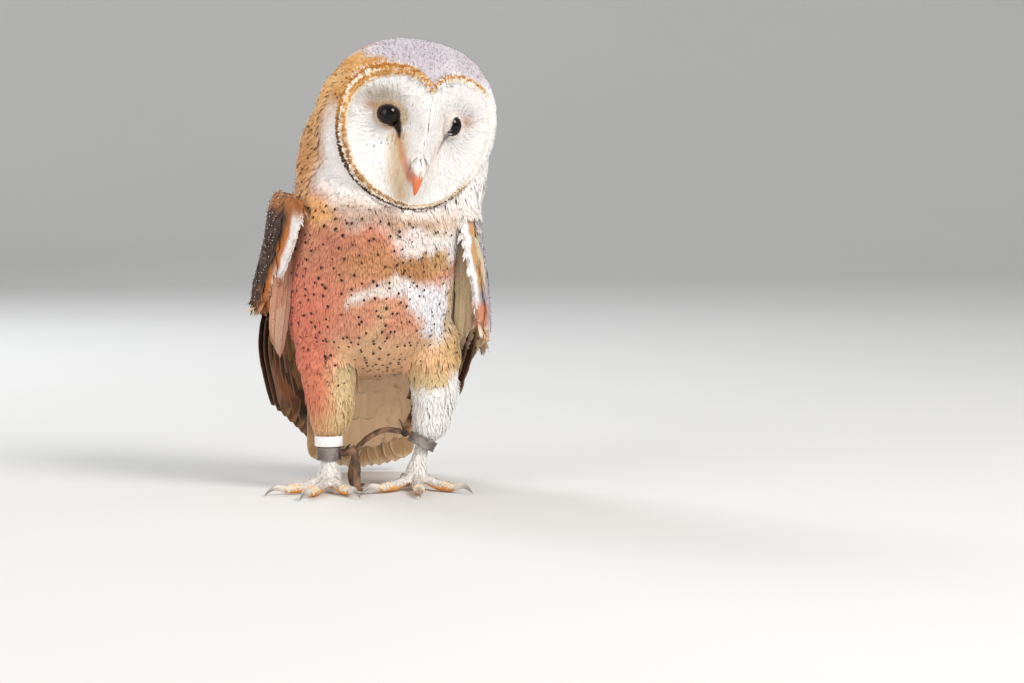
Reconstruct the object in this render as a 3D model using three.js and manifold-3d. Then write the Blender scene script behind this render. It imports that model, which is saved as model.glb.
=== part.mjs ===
// Barn owl, standing: a still life-size model, in millimetres, +Z up.
// The owl faces -Y, its own left side is +X, and the soles of its toes stand on the plane z = 0.
// Every solid reaches out to the tips of the feathers.
import * as THREE from 'three';
import { mergeVertices } from 'three/addons/utils/BufferGeometryUtils.js';
import Module from 'manifold-3d';

const wasm = await Module();
wasm.setup();

// ---- driving dimensions -------------------------------------------------

const GAP = 0.35; // clear space between two neighbouring solids
const DETAIL = 0.18; // shape finer than this is smoothed away after a cut
const FINE_DETAIL = 0.04; // the same for small slender pieces
const FAR = 600; // half side of the blocks that cut at a plane

const HEAD = {
  centre: [18, -18, 228],
  roll: 10, // degrees, crown towards the owl's left
  nod: 7, // degrees, bill down
  turn: 6.5, // degrees, towards the owl's left
  halfWidth: 57,
  halfHeight: 58.4,
  back: 55,
  fullness: 4, // how much further the fluffed crown stands out towards the owl's left
  fullAt: 0.75, // in which direction from straight up, in radians
  fullSpread: 0.5,
};
const DISC = {
  halfWidth: 47.8,
  halfHeight: 46.2,
  lift: 1, // centre of the facial disc above the head's centre
  notch: 17, // depth of the cleft at the top of the heart
  notchSpread: 0.346, // in radians, as the next two are
  lobeAt: 1.07, // direction of the heart's two lobes from straight up
  lobeSpread: 0.456,
  lobe: 4.7,
  ridge: 8.5, // the feathered ridge between the eyes stands this far out
  front: -43,
  sweep: 0.5, // how steeply each half turns back from the ridge
  dish: 5,
};
const EYE = { radius: 8.3, x: 19.6, z: 9, y: -27.5 };
const BILL = { root: [0, -46.5, -16], length: 20, radius: 5.4 };

const LEG_X = 28; // each leg's distance from the middle
const TARSUS = { radius: 5.2, top: 44, ballRadius: 8.3, ballHeight: 9 };
const TOE = { rootRadius: 3.8, padRadius: 4.2, tipRadius: 3.4, axisHeight: 2.9 };
const CLAW = { rootRadius: 2.3, tipRadius: 0.45 };
const TAIL = { root: [0, 42, 98], tip: [8, 102, -1.7], feathers: 7, rootWidth: 24, tipWidth: 68 };
const STRAP = { width: 5, thickness: 1.2 };

const COLOURS = {
  face: 0xfbf8f4,
  breast: 0xd9936b,
  wing: 0x5a3d2e,
  primaries: 0xb5713c,
  tail: 0xb58a55,
  thigh: 0xf1dfc8,
  foot: 0xe9e2da,
  claw: 0x6b6461,
  bill: 0xf0c9b4,
  eye: 0x0b0807,
  leather: 0x7a6f6c,
  strap: 0x3a2f2b,
  ring: 0xf6f6f6,
};

// ---- solids and cuts ----------------------------------------------------

function toSolid(geometry) {
  const bare = geometry.clone();
  bare.deleteAttribute('normal');
  bare.deleteAttribute('uv');
  const merged = mergeVertices(bare, 1e-4);
  return new wasm.Manifold(new wasm.Mesh({
    numProp: 3,
    vertProperties: merged.attributes.position.array,
    triVerts: new Uint32Array(merged.index.array),
  }));
}

function toGeometry(solid) {
  const mesh = solid.getMesh();
  const geometry = new THREE.BufferGeometry();
  geometry.setAttribute('position', new THREE.BufferAttribute(mesh.vertProperties, 3));
  geometry.setIndex(new THREE.BufferAttribute(mesh.triVerts, 1));
  geometry.computeVertexNormals();
  return geometry;
}

function joined(solids) {
  return solids.reduce((whole, next) => whole.add(next));
}

// The largest body that a cut leaves, without offcuts and without slivers thinner than detail.
function trimmed(solid, detail) {
  const bodies = solid.asOriginal().simplify(detail).decompose();
  return bodies.reduce((best, next) => (next.volume() > best.volume() ? next : best));
}

// A closed body laid on the sphere's own grid: place(t, angle) gives the point at the share t of
// the way from one end to the other, with the angle counter-clockwise as the first end sees it.
function wrapped(around, along, place) {
  const geometry = new THREE.SphereGeometry(1, around, along);
  const grid = geometry.attributes.uv;
  const points = geometry.attributes.position;
  for (let i = 0; i < points.count; i += 1) {
    const row = Math.floor(i / (around + 1));
    const point = place(row / along, 2 * Math.PI * grid.getX(i));
    points.setXYZ(i, point.x, point.y, point.z);
  }
  return toSolid(geometry);
}

// Smooth values through the rows of a table, at the share t of its length.
function between(rows, t) {
  const last = rows.length - 1;
  const i = Math.min(Math.floor(t * last), last - 1);
  const local = t * last - i;
  const row = (k) => rows[Math.min(Math.max(k, 0), last)];
  return rows[0].map((_, k) => {
    const [a, b, c, d] = [row(i - 1)[k], row(i)[k], row(i + 1)[k], row(i + 2)[k]];
    const slopeIn = (c - a) / 2;
    const slopeOut = (d - b) / 2;
    const s2 = local * local;
    const s3 = s2 * local;
    return (2 * s3 - 3 * s2 + 1) * b + (s3 - 2 * s2 + local) * slopeIn
      + (3 * s2 - 2 * s3) * c + (s3 - s2) * slopeOut;
  });
}

// How wide a rounded end is at the share t, where each round cap takes up the share given.
function capped(t, first, last = first) {
  const near = Math.min(t / first, 1);
  const far = Math.min((1 - t) / last, 1);
  return Math.sqrt(1 - (1 - near) ** 2) * Math.sqrt(1 - (1 - far) ** 2);
}

// Shares that crowd towards both ends, so that round caps get enough rings.
function eased(t) {
  return (1 - Math.cos(Math.PI * t)) / 2;
}

// An upright plump form. Its rows run from the top down, and each is
// [z, middle x, middle y, half width, front depth, back depth].
function plump(rows, around, along, grow = 0, cap = 0.16) {
  return wrapped(around, along, (t, angle) => {
    const share = eased(t);
    const [z, x, y, side, front, back] = between(rows, share);
    const round = capped(share, cap);
    const depth = Math.sin(angle) < 0 ? front : back;
    return new THREE.Vector3(
      x + Math.cos(angle) * (side + grow) * round,
      y + Math.sin(angle) * (depth + grow) * round,
      z + grow * (1 - 2 * share),
    );
  });
}

// A limb along a curve. radius(t) gives its half sizes across and along the upright direction.
function limb(curve, radius, { around, along, grow = 0, cap = 0.2, upright = [0, 0, 1] }) {
  return wrapped(around, along, (t, angle) => {
    const share = eased(t);
    const forward = curve.getTangentAt(share);
    const side = new THREE.Vector3(...upright).cross(forward).normalize();
    const up = new THREE.Vector3().crossVectors(forward, side);
    const [wide, high] = radius(share);
    const round = capped(share, cap);
    return curve.getPointAt(share)
      .addScaledVector(forward, grow * (2 * share - 1))
      .addScaledVector(side, -Math.cos(angle) * (wide + grow) * round)
      .addScaledVector(up, Math.sin(angle) * (high + grow) * round);
  });
}

// A block with the given face: what lies on the side that the normal points to is kept.
function halfSpace(point, normal) {
  const block = new THREE.BoxGeometry(2 * FAR, 2 * FAR, 2 * FAR);
  const direction = new THREE.Vector3(...normal).normalize();
  const turn = new THREE.Quaternion().setFromUnitVectors(new THREE.Vector3(0, 0, 1), direction);
  block.applyQuaternion(turn);
  block.translate(...direction.clone().multiplyScalar(FAR).add(new THREE.Vector3(...point)));
  return toSolid(block);
}

function opposite(vector) {
  return vector.map((value) => -value);
}

// Two half spaces that face away from each other, with the gap between them.
function parting(point, normal) {
  const half = new THREE.Vector3(...normal).normalize().multiplyScalar(GAP / 2);
  const above = new THREE.Vector3(...point).add(half).toArray();
  const below = new THREE.Vector3(...point).sub(half).toArray();
  return { above: halfSpace(above, normal), below: halfSpace(below, opposite(normal)) };
}

function moved(solid, matrix) {
  const geometry = toGeometry(solid);
  geometry.applyMatrix4(matrix);
  return toSolid(geometry);
}

const owl = new THREE.Group();

function addPiece(name, solid, colour, looks = {}) {
  const { roughness = 0.9, metalness = 0, group = owl, detail = DETAIL } = looks;
  const material = new THREE.MeshStandardMaterial({ color: colour, roughness, metalness });
  const mesh = new THREE.Mesh(toGeometry(trimmed(solid, detail)), material);
  mesh.name = name;
  group.add(mesh);
  return mesh;
}

// ---- head ---------------------------------------------------------------

const headGroup = new THREE.Group();
headGroup.position.set(...HEAD.centre);
headGroup.rotation.set(
  THREE.MathUtils.degToRad(HEAD.nod),
  THREE.MathUtils.degToRad(HEAD.roll),
  THREE.MathUtils.degToRad(HEAD.turn),
  'ZYX',
);
headGroup.updateMatrix();
const intoHead = headGroup.matrix.clone().invert();

// Radius of the heart-shaped rim, with the angle measured from straight up.
function rimRadius(fromTop) {
  const ellipse = 1 / Math.hypot(
    Math.sin(fromTop) / DISC.halfWidth,
    Math.cos(fromTop) / DISC.halfHeight,
  );
  const cleft = DISC.notch * Math.exp(-Math.abs(fromTop) / DISC.notchSpread);
  const offLobe = (Math.abs(fromTop) - DISC.lobeAt) / DISC.lobeSpread;
  return ellipse - cleft + DISC.lobe * Math.exp(-(offLobe ** 2));
}

// How far forward the facial disc lies: a ridge down the middle, a dish about each eye.
function discFront(x, z) {
  const aside = Math.hypot(x, 6) - 6;
  const slope = DISC.sweep * aside + 0.0032 * z * z - 0.04 * z;
  const ridge = DISC.ridge * Math.exp(-((x / 8.5) ** 2)) * Math.exp(-(((z + 6) / 34) ** 4));
  const toEye = Math.hypot((Math.abs(x) - EYE.x) / 17, (z - EYE.z + 4) / 24);
  return DISC.front + slope - ridge + DISC.dish * Math.exp(-(toEye ** 2));
}

function headForm(grow = 0) {
  const discRings = 6;
  const rings = 14;
  return wrapped(28, rings, (t, angle) => {
    const ring = Math.round(t * rings);
    const fromTop = Math.atan2(Math.cos(angle), Math.sin(angle));
    const rim = rimRadius(fromTop) + grow;
    const across = new THREE.Vector3(Math.cos(angle), 0, Math.sin(angle));
    const onDisc = (share) => {
      const point = across.clone().multiplyScalar(rim * share);
      point.z += DISC.lift;
      point.y = discFront(point.x, point.z) - grow - 3.2 * share ** 8;
      return point;
    };
    if (ring <= discRings) {
      return onDisc(ring / discRings);
    }
    const backShare = (ring - discRings) / (rings - discRings);
    const first = 0.95;
    const swing = first + (Math.PI - first) * backShare;
    const offFull = (fromTop - HEAD.fullAt) / HEAD.fullSpread;
    const out = grow + HEAD.fullness * Math.exp(-(offFull ** 2));
    const shell = (turned) => new THREE.Vector3(
      Math.cos(angle) * (HEAD.halfWidth + out) * Math.sin(turned),
      -Math.cos(turned) * (HEAD.back + grow),
      Math.sin(angle) * (HEAD.halfHeight + out) * Math.sin(turned),
    );
    const offset = onDisc(1).sub(shell(first)).multiplyScalar((1 - backShare) ** 6);
    return shell(swing).add(offset);
  });
}

function eyeBall(side, grow = 0) {
  const ball = new THREE.SphereGeometry(EYE.radius + grow, 12, 8);
  ball.translate(side * EYE.x, EYE.y, EYE.z);
  return toSolid(ball);
}

// The bill leaves the ridge, runs forward and hooks down.
function billForm(scale, lower, grow = 0) {
  const [x, y, z] = BILL.root;
  const length = BILL.length * scale;
  const drop = lower ? 1.5 : 0;
  const behind = lower ? 3.4 : 0;
  const curve = new THREE.CatmullRomCurve3([
    new THREE.Vector3(x, y + 7 + behind, z + 6 - drop),
    new THREE.Vector3(x, y - 1.5 + behind, z - 0.15 * length - drop),
    new THREE.Vector3(x, y - 4 + behind, z - 0.55 * length - drop),
    new THREE.Vector3(x, y - 2.8 + behind, z - 0.95 * length - drop),
  ]);
  const radius = (share) => {
    const taper = BILL.radius * scale * (1 - 0.8 * share);
    return [taper * 0.82, taper];
  };
  return limb(curve, radius, { around: 8, along: 8, grow, cap: 0.12, upright: [0, -0.8, 0.6] });
}

// ---- body ---------------------------------------------------------------

const NECK_ROWS = [
  [258, 14, -4, 34, 24, 28],
  [232, 14, -4, 56, 28, 40],
  [206, 13, -8, 61, 32, 47],
  [184, 9.5, -9, 60.5, 40, 50],
  [160, 2, -6, 54, 47, 50],
];
const TRUNK_ROWS = [
  [206, 8, -7, 52, 30, 48],
  [182, 5, -7, 57, 44, 50],
  [160, 1, -5, 55, 52, 51],
  [138, -0.5, -2, 53.5, 53, 52],
  [116, -1, 3, 53, 51, 52],
  [96, -0.5, 8, 50, 45, 50],
  [80, 0.5, 20, 42, 32, 40],
  [66, 0.5, 34, 26, 14, 24],
];
const THIGH_ROWS = {
  right: [
    [112, -1, 6, 23, 27, 27],
    [90, 0, 2, 21, 24, 24],
    [72, 0, 0, 18.5, 20, 20],
    [55, 1, -1, 15.5, 16, 17],
    [43, 1, -1, 12.5, 12.5, 13],
    [34, 0.5, -0.5, 10, 10, 10.5],
  ],
  left: [
    [112, 4, 6, 24, 27, 27],
    [90, 8, 2, 21, 24, 24],
    [72, 10.5, 0, 17.5, 20, 21],
    [55, 11.5, -1, 14, 15, 17],
    [43, 10, -1, 13, 13, 14],
    [31, 8.5, -0.5, 10.5, 11, 11.5],
  ],
};

const headCut = parting([17, -60, 178], [0, -0.42, 1]);
const neckCut = parting([5, -55, 162], [0, -0.22, 1]);
const LEGS = [
  { name: 'right', side: -1, lean: 0 },
  { name: 'left', side: 1, lean: 8 },
];

function thighForm(leg, grow = 0) {
  const rows = THIGH_ROWS[leg.name].map(([z, x, ...rest]) => [z, x + leg.side * LEG_X, ...rest]);
  return plump(rows, 14, 10, grow, 0.1);
}

function bodyForm(grow = 0) {
  return joined([
    moved(headForm(grow), headGroup.matrix),
    plump(NECK_ROWS, 26, 10, grow),
    plump(TRUNK_ROWS, 26, 13, grow),
    thighForm(LEGS[0], grow),
    thighForm(LEGS[1], grow),
  ]);
}

const THIGH_TOP = 86;
const body = bodyForm();
const bodyRoom = bodyForm(GAP);

const billUpper = billForm(1, false);
const billLower = billForm(0.7, true).subtract(billForm(1, false, GAP));
const faceRooms = joined([
  eyeBall(1, GAP),
  eyeBall(-1, GAP),
  billForm(1, false, 2 * GAP),
  billForm(0.7, true, 2 * GAP),
]);
const headSolid = moved(body.intersect(headCut.above), intoHead).subtract(faceRooms);
addPiece('head', headSolid, COLOURS.face, { group: headGroup });
addPiece('bill_upper', billUpper, COLOURS.bill, { roughness: 0.4, group: headGroup });
addPiece('bill_lower', billLower, COLOURS.bill, { roughness: 0.4, group: headGroup });
addPiece('eye_right', eyeBall(-1), COLOURS.eye, { roughness: 0.05, group: headGroup });
addPiece('eye_left', eyeBall(1), COLOURS.eye, { roughness: 0.05, group: headGroup });
owl.add(headGroup);

addPiece('neck', body.intersect(headCut.below).intersect(neckCut.above), COLOURS.breast);
const thighCut = parting([0, 0, THIGH_TOP], [0, 0, 1]);
const thighRoom = joined(LEGS.map((leg) => thighForm(leg, GAP))).intersect(
  halfSpace([0, 0, THIGH_TOP + GAP / 2], [0, 0, -1]),
);
addPiece('trunk', body.intersect(neckCut.below).subtract(thighRoom), COLOURS.breast);

// ---- legs and feet ------------------------------------------------------

const TOES = {
  right: [
    { name: 'outer', heading: -64, length: 27, claw: 14 },
    { name: 'middle', heading: -27, length: 33, claw: 16 },
    { name: 'inner', heading: 14, length: 27, claw: 15 },
    { name: 'hind', heading: 168, length: 18, claw: 14 },
  ],
  left: [
    { name: 'outer', heading: 37, length: 26, claw: 14 },
    { name: 'middle', heading: -8, length: 33, claw: 16 },
    { name: 'inner', heading: -54, length: 28, claw: 15 },
    { name: 'hind', heading: 186, length: 18, claw: 14 },
  ],
};
const FOOT_Y = -2;
const ground = halfSpace([0, 0, 0], [0, 0, 1]);

// A point at a distance along a heading, where 0 is straight ahead and 90 the owl's left.
function ahead(heading, distance, height) {
  const angle = THREE.MathUtils.degToRad(heading);
  return new THREE.Vector3(
    Math.sin(angle) * distance,
    FOOT_Y - Math.cos(angle) * distance,
    height,
  );
}

// The shank, which leans out from the foot by the given amount at its top.
function tarsusForm(lean, grow = 0) {
  const { radius, top, ballRadius, ballHeight } = TARSUS;
  return plump([
    [top, lean, 1, radius, radius, radius],
    [30, 0.6 * lean, 0, radius, radius, radius],
    [20, 0.2 * lean, -1, radius, radius, radius],
    [ballHeight + 5, 0, FOOT_Y, ballRadius - 1.6, ballRadius - 1, ballRadius - 1],
    [ballHeight, 0, FOOT_Y, ballRadius, ballRadius, ballRadius],
    [ballHeight - 7, 0, FOOT_Y, ballRadius - 1, ballRadius - 1, ballRadius - 1],
  ], 12, 10, grow, 0.1);
}

function toeForm(toe, grow = 0) {
  const { rootRadius, padRadius, tipRadius, axisHeight } = TOE;
  const reach = TARSUS.ballRadius + toe.length;
  const curve = new THREE.CatmullRomCurve3([
    ahead(toe.heading, TARSUS.ballRadius - 3, axisHeight + 5),
    ahead(toe.heading, TARSUS.ballRadius + 0.35 * toe.length, axisHeight + 1),
    ahead(toe.heading, reach - 5, axisHeight),
    ahead(toe.heading, reach, axisHeight),
  ]);
  const radius = (share) => {
    const swell = padRadius - rootRadius;
    const wide = share < 0.7
      ? rootRadius + swell * (share / 0.7)
      : padRadius + (tipRadius - padRadius) * ((share - 0.7) / 0.3);
    return [wide, wide];
  };
  return limb(curve, radius, { around: 8, along: 7, grow, cap: 0.12 });
}

function clawForm(toe) {
  const reach = TARSUS.ballRadius + toe.length;
  const curve = new THREE.CatmullRomCurve3([
    ahead(toe.heading, reach - 3, TOE.axisHeight + 0.6),
    ahead(toe.heading, reach + 0.35 * toe.claw, TOE.axisHeight + 2.2),
    ahead(toe.heading, reach + 0.75 * toe.claw, TOE.axisHeight + 0.6),
    ahead(toe.heading, reach + 0.95 * toe.claw, 0.9),
  ]);
  const radius = (share) => {
    const taper = CLAW.rootRadius + (CLAW.tipRadius - CLAW.rootRadius) * share;
    return [taper * 0.85, taper];
  };
  return limb(curve, radius, { around: 6, along: 6, cap: 0.08 });
}

// A flat band round a leg, from a closed profile turned about the upright axis.
function bandForm({ inner, outer, height, z, tilt = 0, x = 0, y = 0 }) {
  const profile = [
    [inner, -height / 2],
    [outer, -height / 2],
    [outer, height / 2],
    [inner, height / 2],
    [inner, -height / 2],
  ].map(([radius, level]) => new THREE.Vector2(radius, level));
  const band = new THREE.LatheGeometry(profile, 16);
  band.rotateX(Math.PI / 2);
  band.rotateY(THREE.MathUtils.degToRad(tilt));
  band.translate(x, y, z);
  return toSolid(band);
}

const BANDS = {
  right: [
    { name: 'leg_ring', inner: 7.4, outer: 8.9, height: 6.6, z: 31.8 },
    { name: 'anklet_right', inner: 6.3, outer: 7.5, height: 8.4, z: 23.8, y: -0.5 },
  ],
  left: [
    { name: 'anklet_left', inner: 7.9, outer: 9.1, height: 6.6, z: 30, x: 3.5, y: -0.5, tilt: 26 },
  ],
};

LEGS.forEach((leg) => {
  const group = new THREE.Group();
  group.position.set(leg.side * LEG_X, 0, 0);
  owl.add(group);
  const add = (name, solid, colour, looks = {}) => addPiece(
    name,
    solid,
    colour,
    { group, ...looks },
  );
  const toGroup = new THREE.Matrix4().makeTranslation(-leg.side * LEG_X, 0, 0);
  const tarsusRoom = tarsusForm(leg.lean, GAP);
  let taken = tarsusRoom;
  let thigh = moved(thighForm(leg), toGroup)
    .intersect(halfSpace([0, 0, THIGH_TOP - GAP / 2], [0, 0, -1]))
    .subtract(tarsusRoom);
  BANDS[leg.name].forEach((band) => {
    const { name, inner, outer, height, ...place } = band;
    const room = { inner: 0, outer: outer + GAP, height: height + 2 * GAP, ...place };
    thigh = thigh.subtract(bandForm(room));
    add(name, bandForm(band), name === 'leg_ring' ? COLOURS.ring : COLOURS.leather);
  });
  add(`thigh_${leg.name}`, thigh, COLOURS.thigh);
  add(`tarsus_${leg.name}`, tarsusForm(leg.lean).intersect(ground), COLOURS.foot);
  TOES[leg.name].forEach((toe) => {
    add(
      `toe_${leg.name}_${toe.name}`,
      toeForm(toe).subtract(taken).intersect(ground),
      COLOURS.foot,
    );
    add(
      `claw_${leg.name}_${toe.name}`,
      clawForm(toe).subtract(toeForm(toe, GAP)),
      COLOURS.claw,
      { roughness: 0.35, detail: FINE_DETAIL },
    );
    taken = taken.add(toeForm(toe, GAP));
  });
});

// ---- feathers of wings and tail -----------------------------------------

// One long feather or a stack of them: a leaf that is widest near its tip, with a rounded end.
function blade({ root, bend, tip, width, thickness, upright }, grow = 0) {
  const curve = new THREE.CatmullRomCurve3([root, bend, tip].map((point) => new THREE.Vector3(...point)));
  const radius = (share) => [
    (width / 2) * (0.55 + 0.45 * Math.sin(Math.PI * Math.min(share + 0.1, 0.62))),
    thickness / 2,
  ];
  return limb(curve, radius, { around: 6, along: 7, grow, cap: 0.14, upright });
}

function mix(a, b, share) {
  return a.map((value, k) => value + (b[k] - value) * share);
}

function tailForm(grow = 0) {
  const { root, tip, feathers, rootWidth, tipWidth } = TAIL;
  const upright = [0, 0.83, 0.56];
  const parts = [];
  for (let i = 0; i < feathers; i += 1) {
    const across = i / (feathers - 1) - 0.5;
    const lift = 1.4 * Math.cos(Math.PI * across);
    const short = 9 * (2 * across) ** 2;
    parts.push(blade({
      root: [root[0] + across * rootWidth, root[1], root[2]],
      bend: [
        (root[0] + tip[0]) / 2 + across * (rootWidth + tipWidth) * 0.55,
        (root[1] + tip[1]) / 2 + lift + 4,
        (root[2] + tip[2]) / 2 + lift + 2,
      ],
      tip: [
        tip[0] + across * (tipWidth - 12),
        tip[1] + lift - short * 0.55,
        tip[2] + lift + short * 0.83,
      ],
      width: 20,
      thickness: 2.6,
      upright,
    }, grow));
  }
  const coverts = limb(
    new THREE.CatmullRomCurve3([
      new THREE.Vector3(0, 34, 104),
      new THREE.Vector3(2, 52, 74),
      new THREE.Vector3(5, 82, 38),
    ]),
    (share) => [27 - 11 * share, 20 - 17 * share],
    { around: 12, along: 7, grow, upright },
  );
  return joined([coverts, ...parts]);
}

const tail = tailForm().subtract(bodyRoom).intersect(ground);
const tailRoom = tailForm(GAP);
addPiece('tail', tail, COLOURS.tail);

// Rows of [z, front x, front y, bulge x, bulge y, back x, back y, thickness].
const COVERT_ROWS = [
  [191, 44, -34, 80, -6, 32, 37, 8],
  [178, 46, -38, 90, 2, 19, 47, 9],
  [162, 49, -36, 93, 8, 12, 51, 10],
  [146, 53, -28, 96, 16, 8, 55, 10],
  [130, 57, -16, 99, 24, 7, 60, 9],
  [114, 60, -2, 99, 30, 10, 66, 8],
];

function wingShell({ side, out, drop, slant }, grow = 0) {
  return wrapped(16, 9, (t, angle) => {
    const share = eased(t);
    const row = between(COVERT_ROWS, share);
    const [level, nearX, frontY, farX, bulgeY, backX, backY, thickness] = row;
    const frontX = nearX + out * share;
    const bulgeX = farX + 2 * out * share;
    const round = capped(share, 0.1, 0.08);
    const v = 0.5 - 0.5 * Math.cos(angle) * round;
    const z = level - (drop + slant * v) * share;
    const curve = new THREE.QuadraticBezierCurve(
      new THREE.Vector2(frontX, frontY),
      new THREE.Vector2(bulgeX, bulgeY),
      new THREE.Vector2(backX, backY),
    );
    const middle = curve.getPoint(v);
    const tangent = curve.getTangent(v);
    const offset = side * Math.sin(angle) * (thickness / 2 + grow) * round;
    const ends = -Math.cos(angle) * grow * round;
    return new THREE.Vector3(
      side * (middle.x + tangent.y * offset + tangent.x * ends),
      middle.y - tangent.x * offset + tangent.y * ends,
      z + grow * (1 - 2 * share),
    );
  });
}

// The left wing hangs a little lower and further out than the right one.
const WINGS = [
  { name: 'right', side: -1, out: 1, drop: 0, slant: 0, spread: 5 },
  { name: 'left', side: 1, out: 4.5, drop: 19, slant: 20, spread: 3 },
];

const PRIMARY_TIPS = [
  [56, 50, 50],
  [45, 65, 41],
  [34, 82, 32],
  [24, 97, 23],
  [14, 110, 13],
];
const SECONDARY_TIPS = [
  [51, 60, 74],
  [39, 74, 66],
  [26, 84, 60],
  [13, 92, 56],
];

function primariesForm({ side, spread }, grow = 0) {
  const last = PRIMARY_TIPS.length - 1;
  return joined(PRIMARY_TIPS.map((tip, i) => {
    const root = mix([60, 12, 136], [44, 40, 124], i / last);
    const bend = mix([65, 34, 96], [28, 80, 72], i / last);
    const out = spread * (1 - i / last);
    return blade({
      root: [side * (root[0] + out), root[1], root[2]],
      bend: [side * (bend[0] + out), bend[1], bend[2]],
      tip: [side * (tip[0] + 0.4 * out), tip[1], tip[2]],
      width: 25,
      thickness: 3,
      upright: [side * (0.95 - 0.5 * (i / last)), 0.3 + 0.55 * (i / last), 0.15],
    }, grow);
  }));
}

function secondariesForm({ side }, grow = 0) {
  const last = SECONDARY_TIPS.length - 1;
  return joined(SECONDARY_TIPS.map((tip, i) => {
    const root = mix([56, 22, 138], [16, 50, 140], i / last);
    const bend = mix([59, 46, 104], [14, 66, 98], i / last);
    return blade({
      root: [side * root[0], root[1], root[2]],
      bend: [side * bend[0], bend[1], bend[2]],
      tip: [side * tip[0], tip[1], tip[2]],
      width: 28,
      thickness: 3,
      upright: [side * (0.8 - 0.6 * (i / last)), 0.6 + 0.3 * (i / last), 0.2],
    }, grow);
  }));
}

WINGS.forEach((wing) => {
  const covertsRoom = wingShell(wing, GAP);
  const secondariesRoom = secondariesForm(wing, GAP);
  addPiece(`wing_${wing.name}_coverts`, wingShell(wing).subtract(bodyRoom), COLOURS.wing);
  addPiece(
    `wing_${wing.name}_secondaries`,
    secondariesForm(wing).subtract(bodyRoom).subtract(covertsRoom).subtract(tailRoom),
    COLOURS.primaries,
  );
  addPiece(
    `wing_${wing.name}_primaries`,
    primariesForm(wing)
      .subtract(bodyRoom)
      .subtract(covertsRoom)
      .subtract(secondariesRoom)
      .subtract(tailRoom)
      .intersect(ground),
    COLOURS.primaries,
  );
});

// ---- straps -------------------------------------------------------------

// Each strap's knot, the tab that sticks out of it, and the strap's route to the floor.
const STRAPS = [
  {
    name: 'left',
    knot: [19.5, -9, 36.5],
    tab: [[19.5, -9.5, 37], [16.5, -10.5, 41], [13.5, -10, 46]],
    route: [
      [16.5, -9.5, 37.5],
      [12, -9.5, 38.5],
      [6, -9, 38.8],
      [-1.5, -8, 35.6],
      [-8, -6.5, 30.5],
      [-12, -4.5, 24],
      [-13.5, -2, 16.5],
      [-13.5, 2, 8.5],
      [-11.5, 6.5, 3],
      [-8, 12, 1.2],
      [-3, 20, 1.2],
    ],
  },
  {
    name: 'right',
    knot: [-19.3, -5.5, 24.5],
    tab: [[-19.5, -6.5, 25], [-18, -8.8, 27.5], [-16, -9.5, 30.5]],
    route: [
      [-17.2, -7, 25.2],
      [-14.6, -8.8, 25.4],
      [-12.4, -10.4, 22.4],
      [-11.8, -11.6, 16.5],
      [-12.2, -12.6, 10],
      [-12.4, -14, 5.4],
      [-11.6, -17, 2.8],
      [-9.6, -22, 2.1],
    ],
  },
];

function knotForm({ knot, tab }, grow = 0) {
  const tie = new THREE.SphereGeometry(1, 8, 6);
  tie.scale(2.6 + grow, 2.1 + grow, 2.8 + grow);
  tie.translate(...knot);
  const curve = new THREE.CatmullRomCurve3(tab.map((point) => new THREE.Vector3(...point)));
  const end = limb(
    curve,
    (share) => [2.2 - 1.7 * share, 0.7],
    { around: 6, along: 5, grow, cap: 0.1, upright: [0, 1, 0] },
  );
  return toSolid(tie).add(end);
}

// A flat strap with rounded edges, drawn along its route.
function strapForm({ route }) {
  const { width, thickness } = STRAP;
  const flat = width / 2 - thickness / 2;
  const section = new THREE.Shape();
  section.moveTo(-thickness / 2, -flat);
  section.quadraticCurveTo(0, -width / 2 - 0.1, thickness / 2, -flat);
  section.lineTo(thickness / 2, flat);
  section.quadraticCurveTo(0, width / 2 + 0.1, -thickness / 2, flat);
  section.closePath();
  const path = new THREE.CatmullRomCurve3(route.map((point) => new THREE.Vector3(...point)));
  return toSolid(new THREE.ExtrudeGeometry(section, {
    steps: 2 * route.length,
    curveSegments: 3,
    extrudePath: path,
  }));
}

STRAPS.forEach((strap) => {
  const leg = LEGS.find(({ name }) => name === strap.name);
  const band = BANDS[strap.name].find(({ name }) => name.startsWith('anklet'));
  const { inner, outer, height, x = 0, ...place } = band;
  const bandRoom = bandForm({
    inner: 0,
    outer: outer + GAP,
    height: height + 2 * GAP,
    x: x + leg.side * LEG_X,
    ...place,
  });
  addPiece(
    `knot_${strap.name}`,
    knotForm(strap).subtract(bandRoom).subtract(bodyRoom),
    COLOURS.strap,
  );
  addPiece(`jess_${strap.name}`, strapForm(strap).subtract(knotForm(strap, GAP)), COLOURS.strap);
});

// The origin is the middle of the owl's own outline, on the floor; its straps don't count.
owl.updateMatrixWorld(true);
const outline = new THREE.Box3();
owl.traverse((piece) => {
  if (piece.isMesh && !piece.name.startsWith('jess')) {
    outline.expandByObject(piece, true);
  }
});
const middle = outline.getCenter(new THREE.Vector3());
owl.position.set(-middle.x, -middle.y, -outline.min.z);

export default owl;
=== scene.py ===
"""Barn owl: the looks of a still, life-size model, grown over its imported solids.

The solids reach out to the tips of the feathers. One skin lies inside them, the plumage stands
on it as solid vanes and tufts, and eyes, bill, claws, leg ring and leather are pieces of their
own. Everything is in metres with +Z up; the owl faces -Y and its own left side is +X. Sizes
written in millimetres are owl-local: measured from between the feet, before the frame's shift.
"""

import sys
import logging
import math
from collections.abc import Callable, Sequence
from dataclasses import dataclass, field
from enum import IntEnum
from functools import partial

import bmesh
import bpy
import numpy as np
from mathutils import Euler, Matrix, Vector
from mathutils.bvhtree import BVHTree


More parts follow.
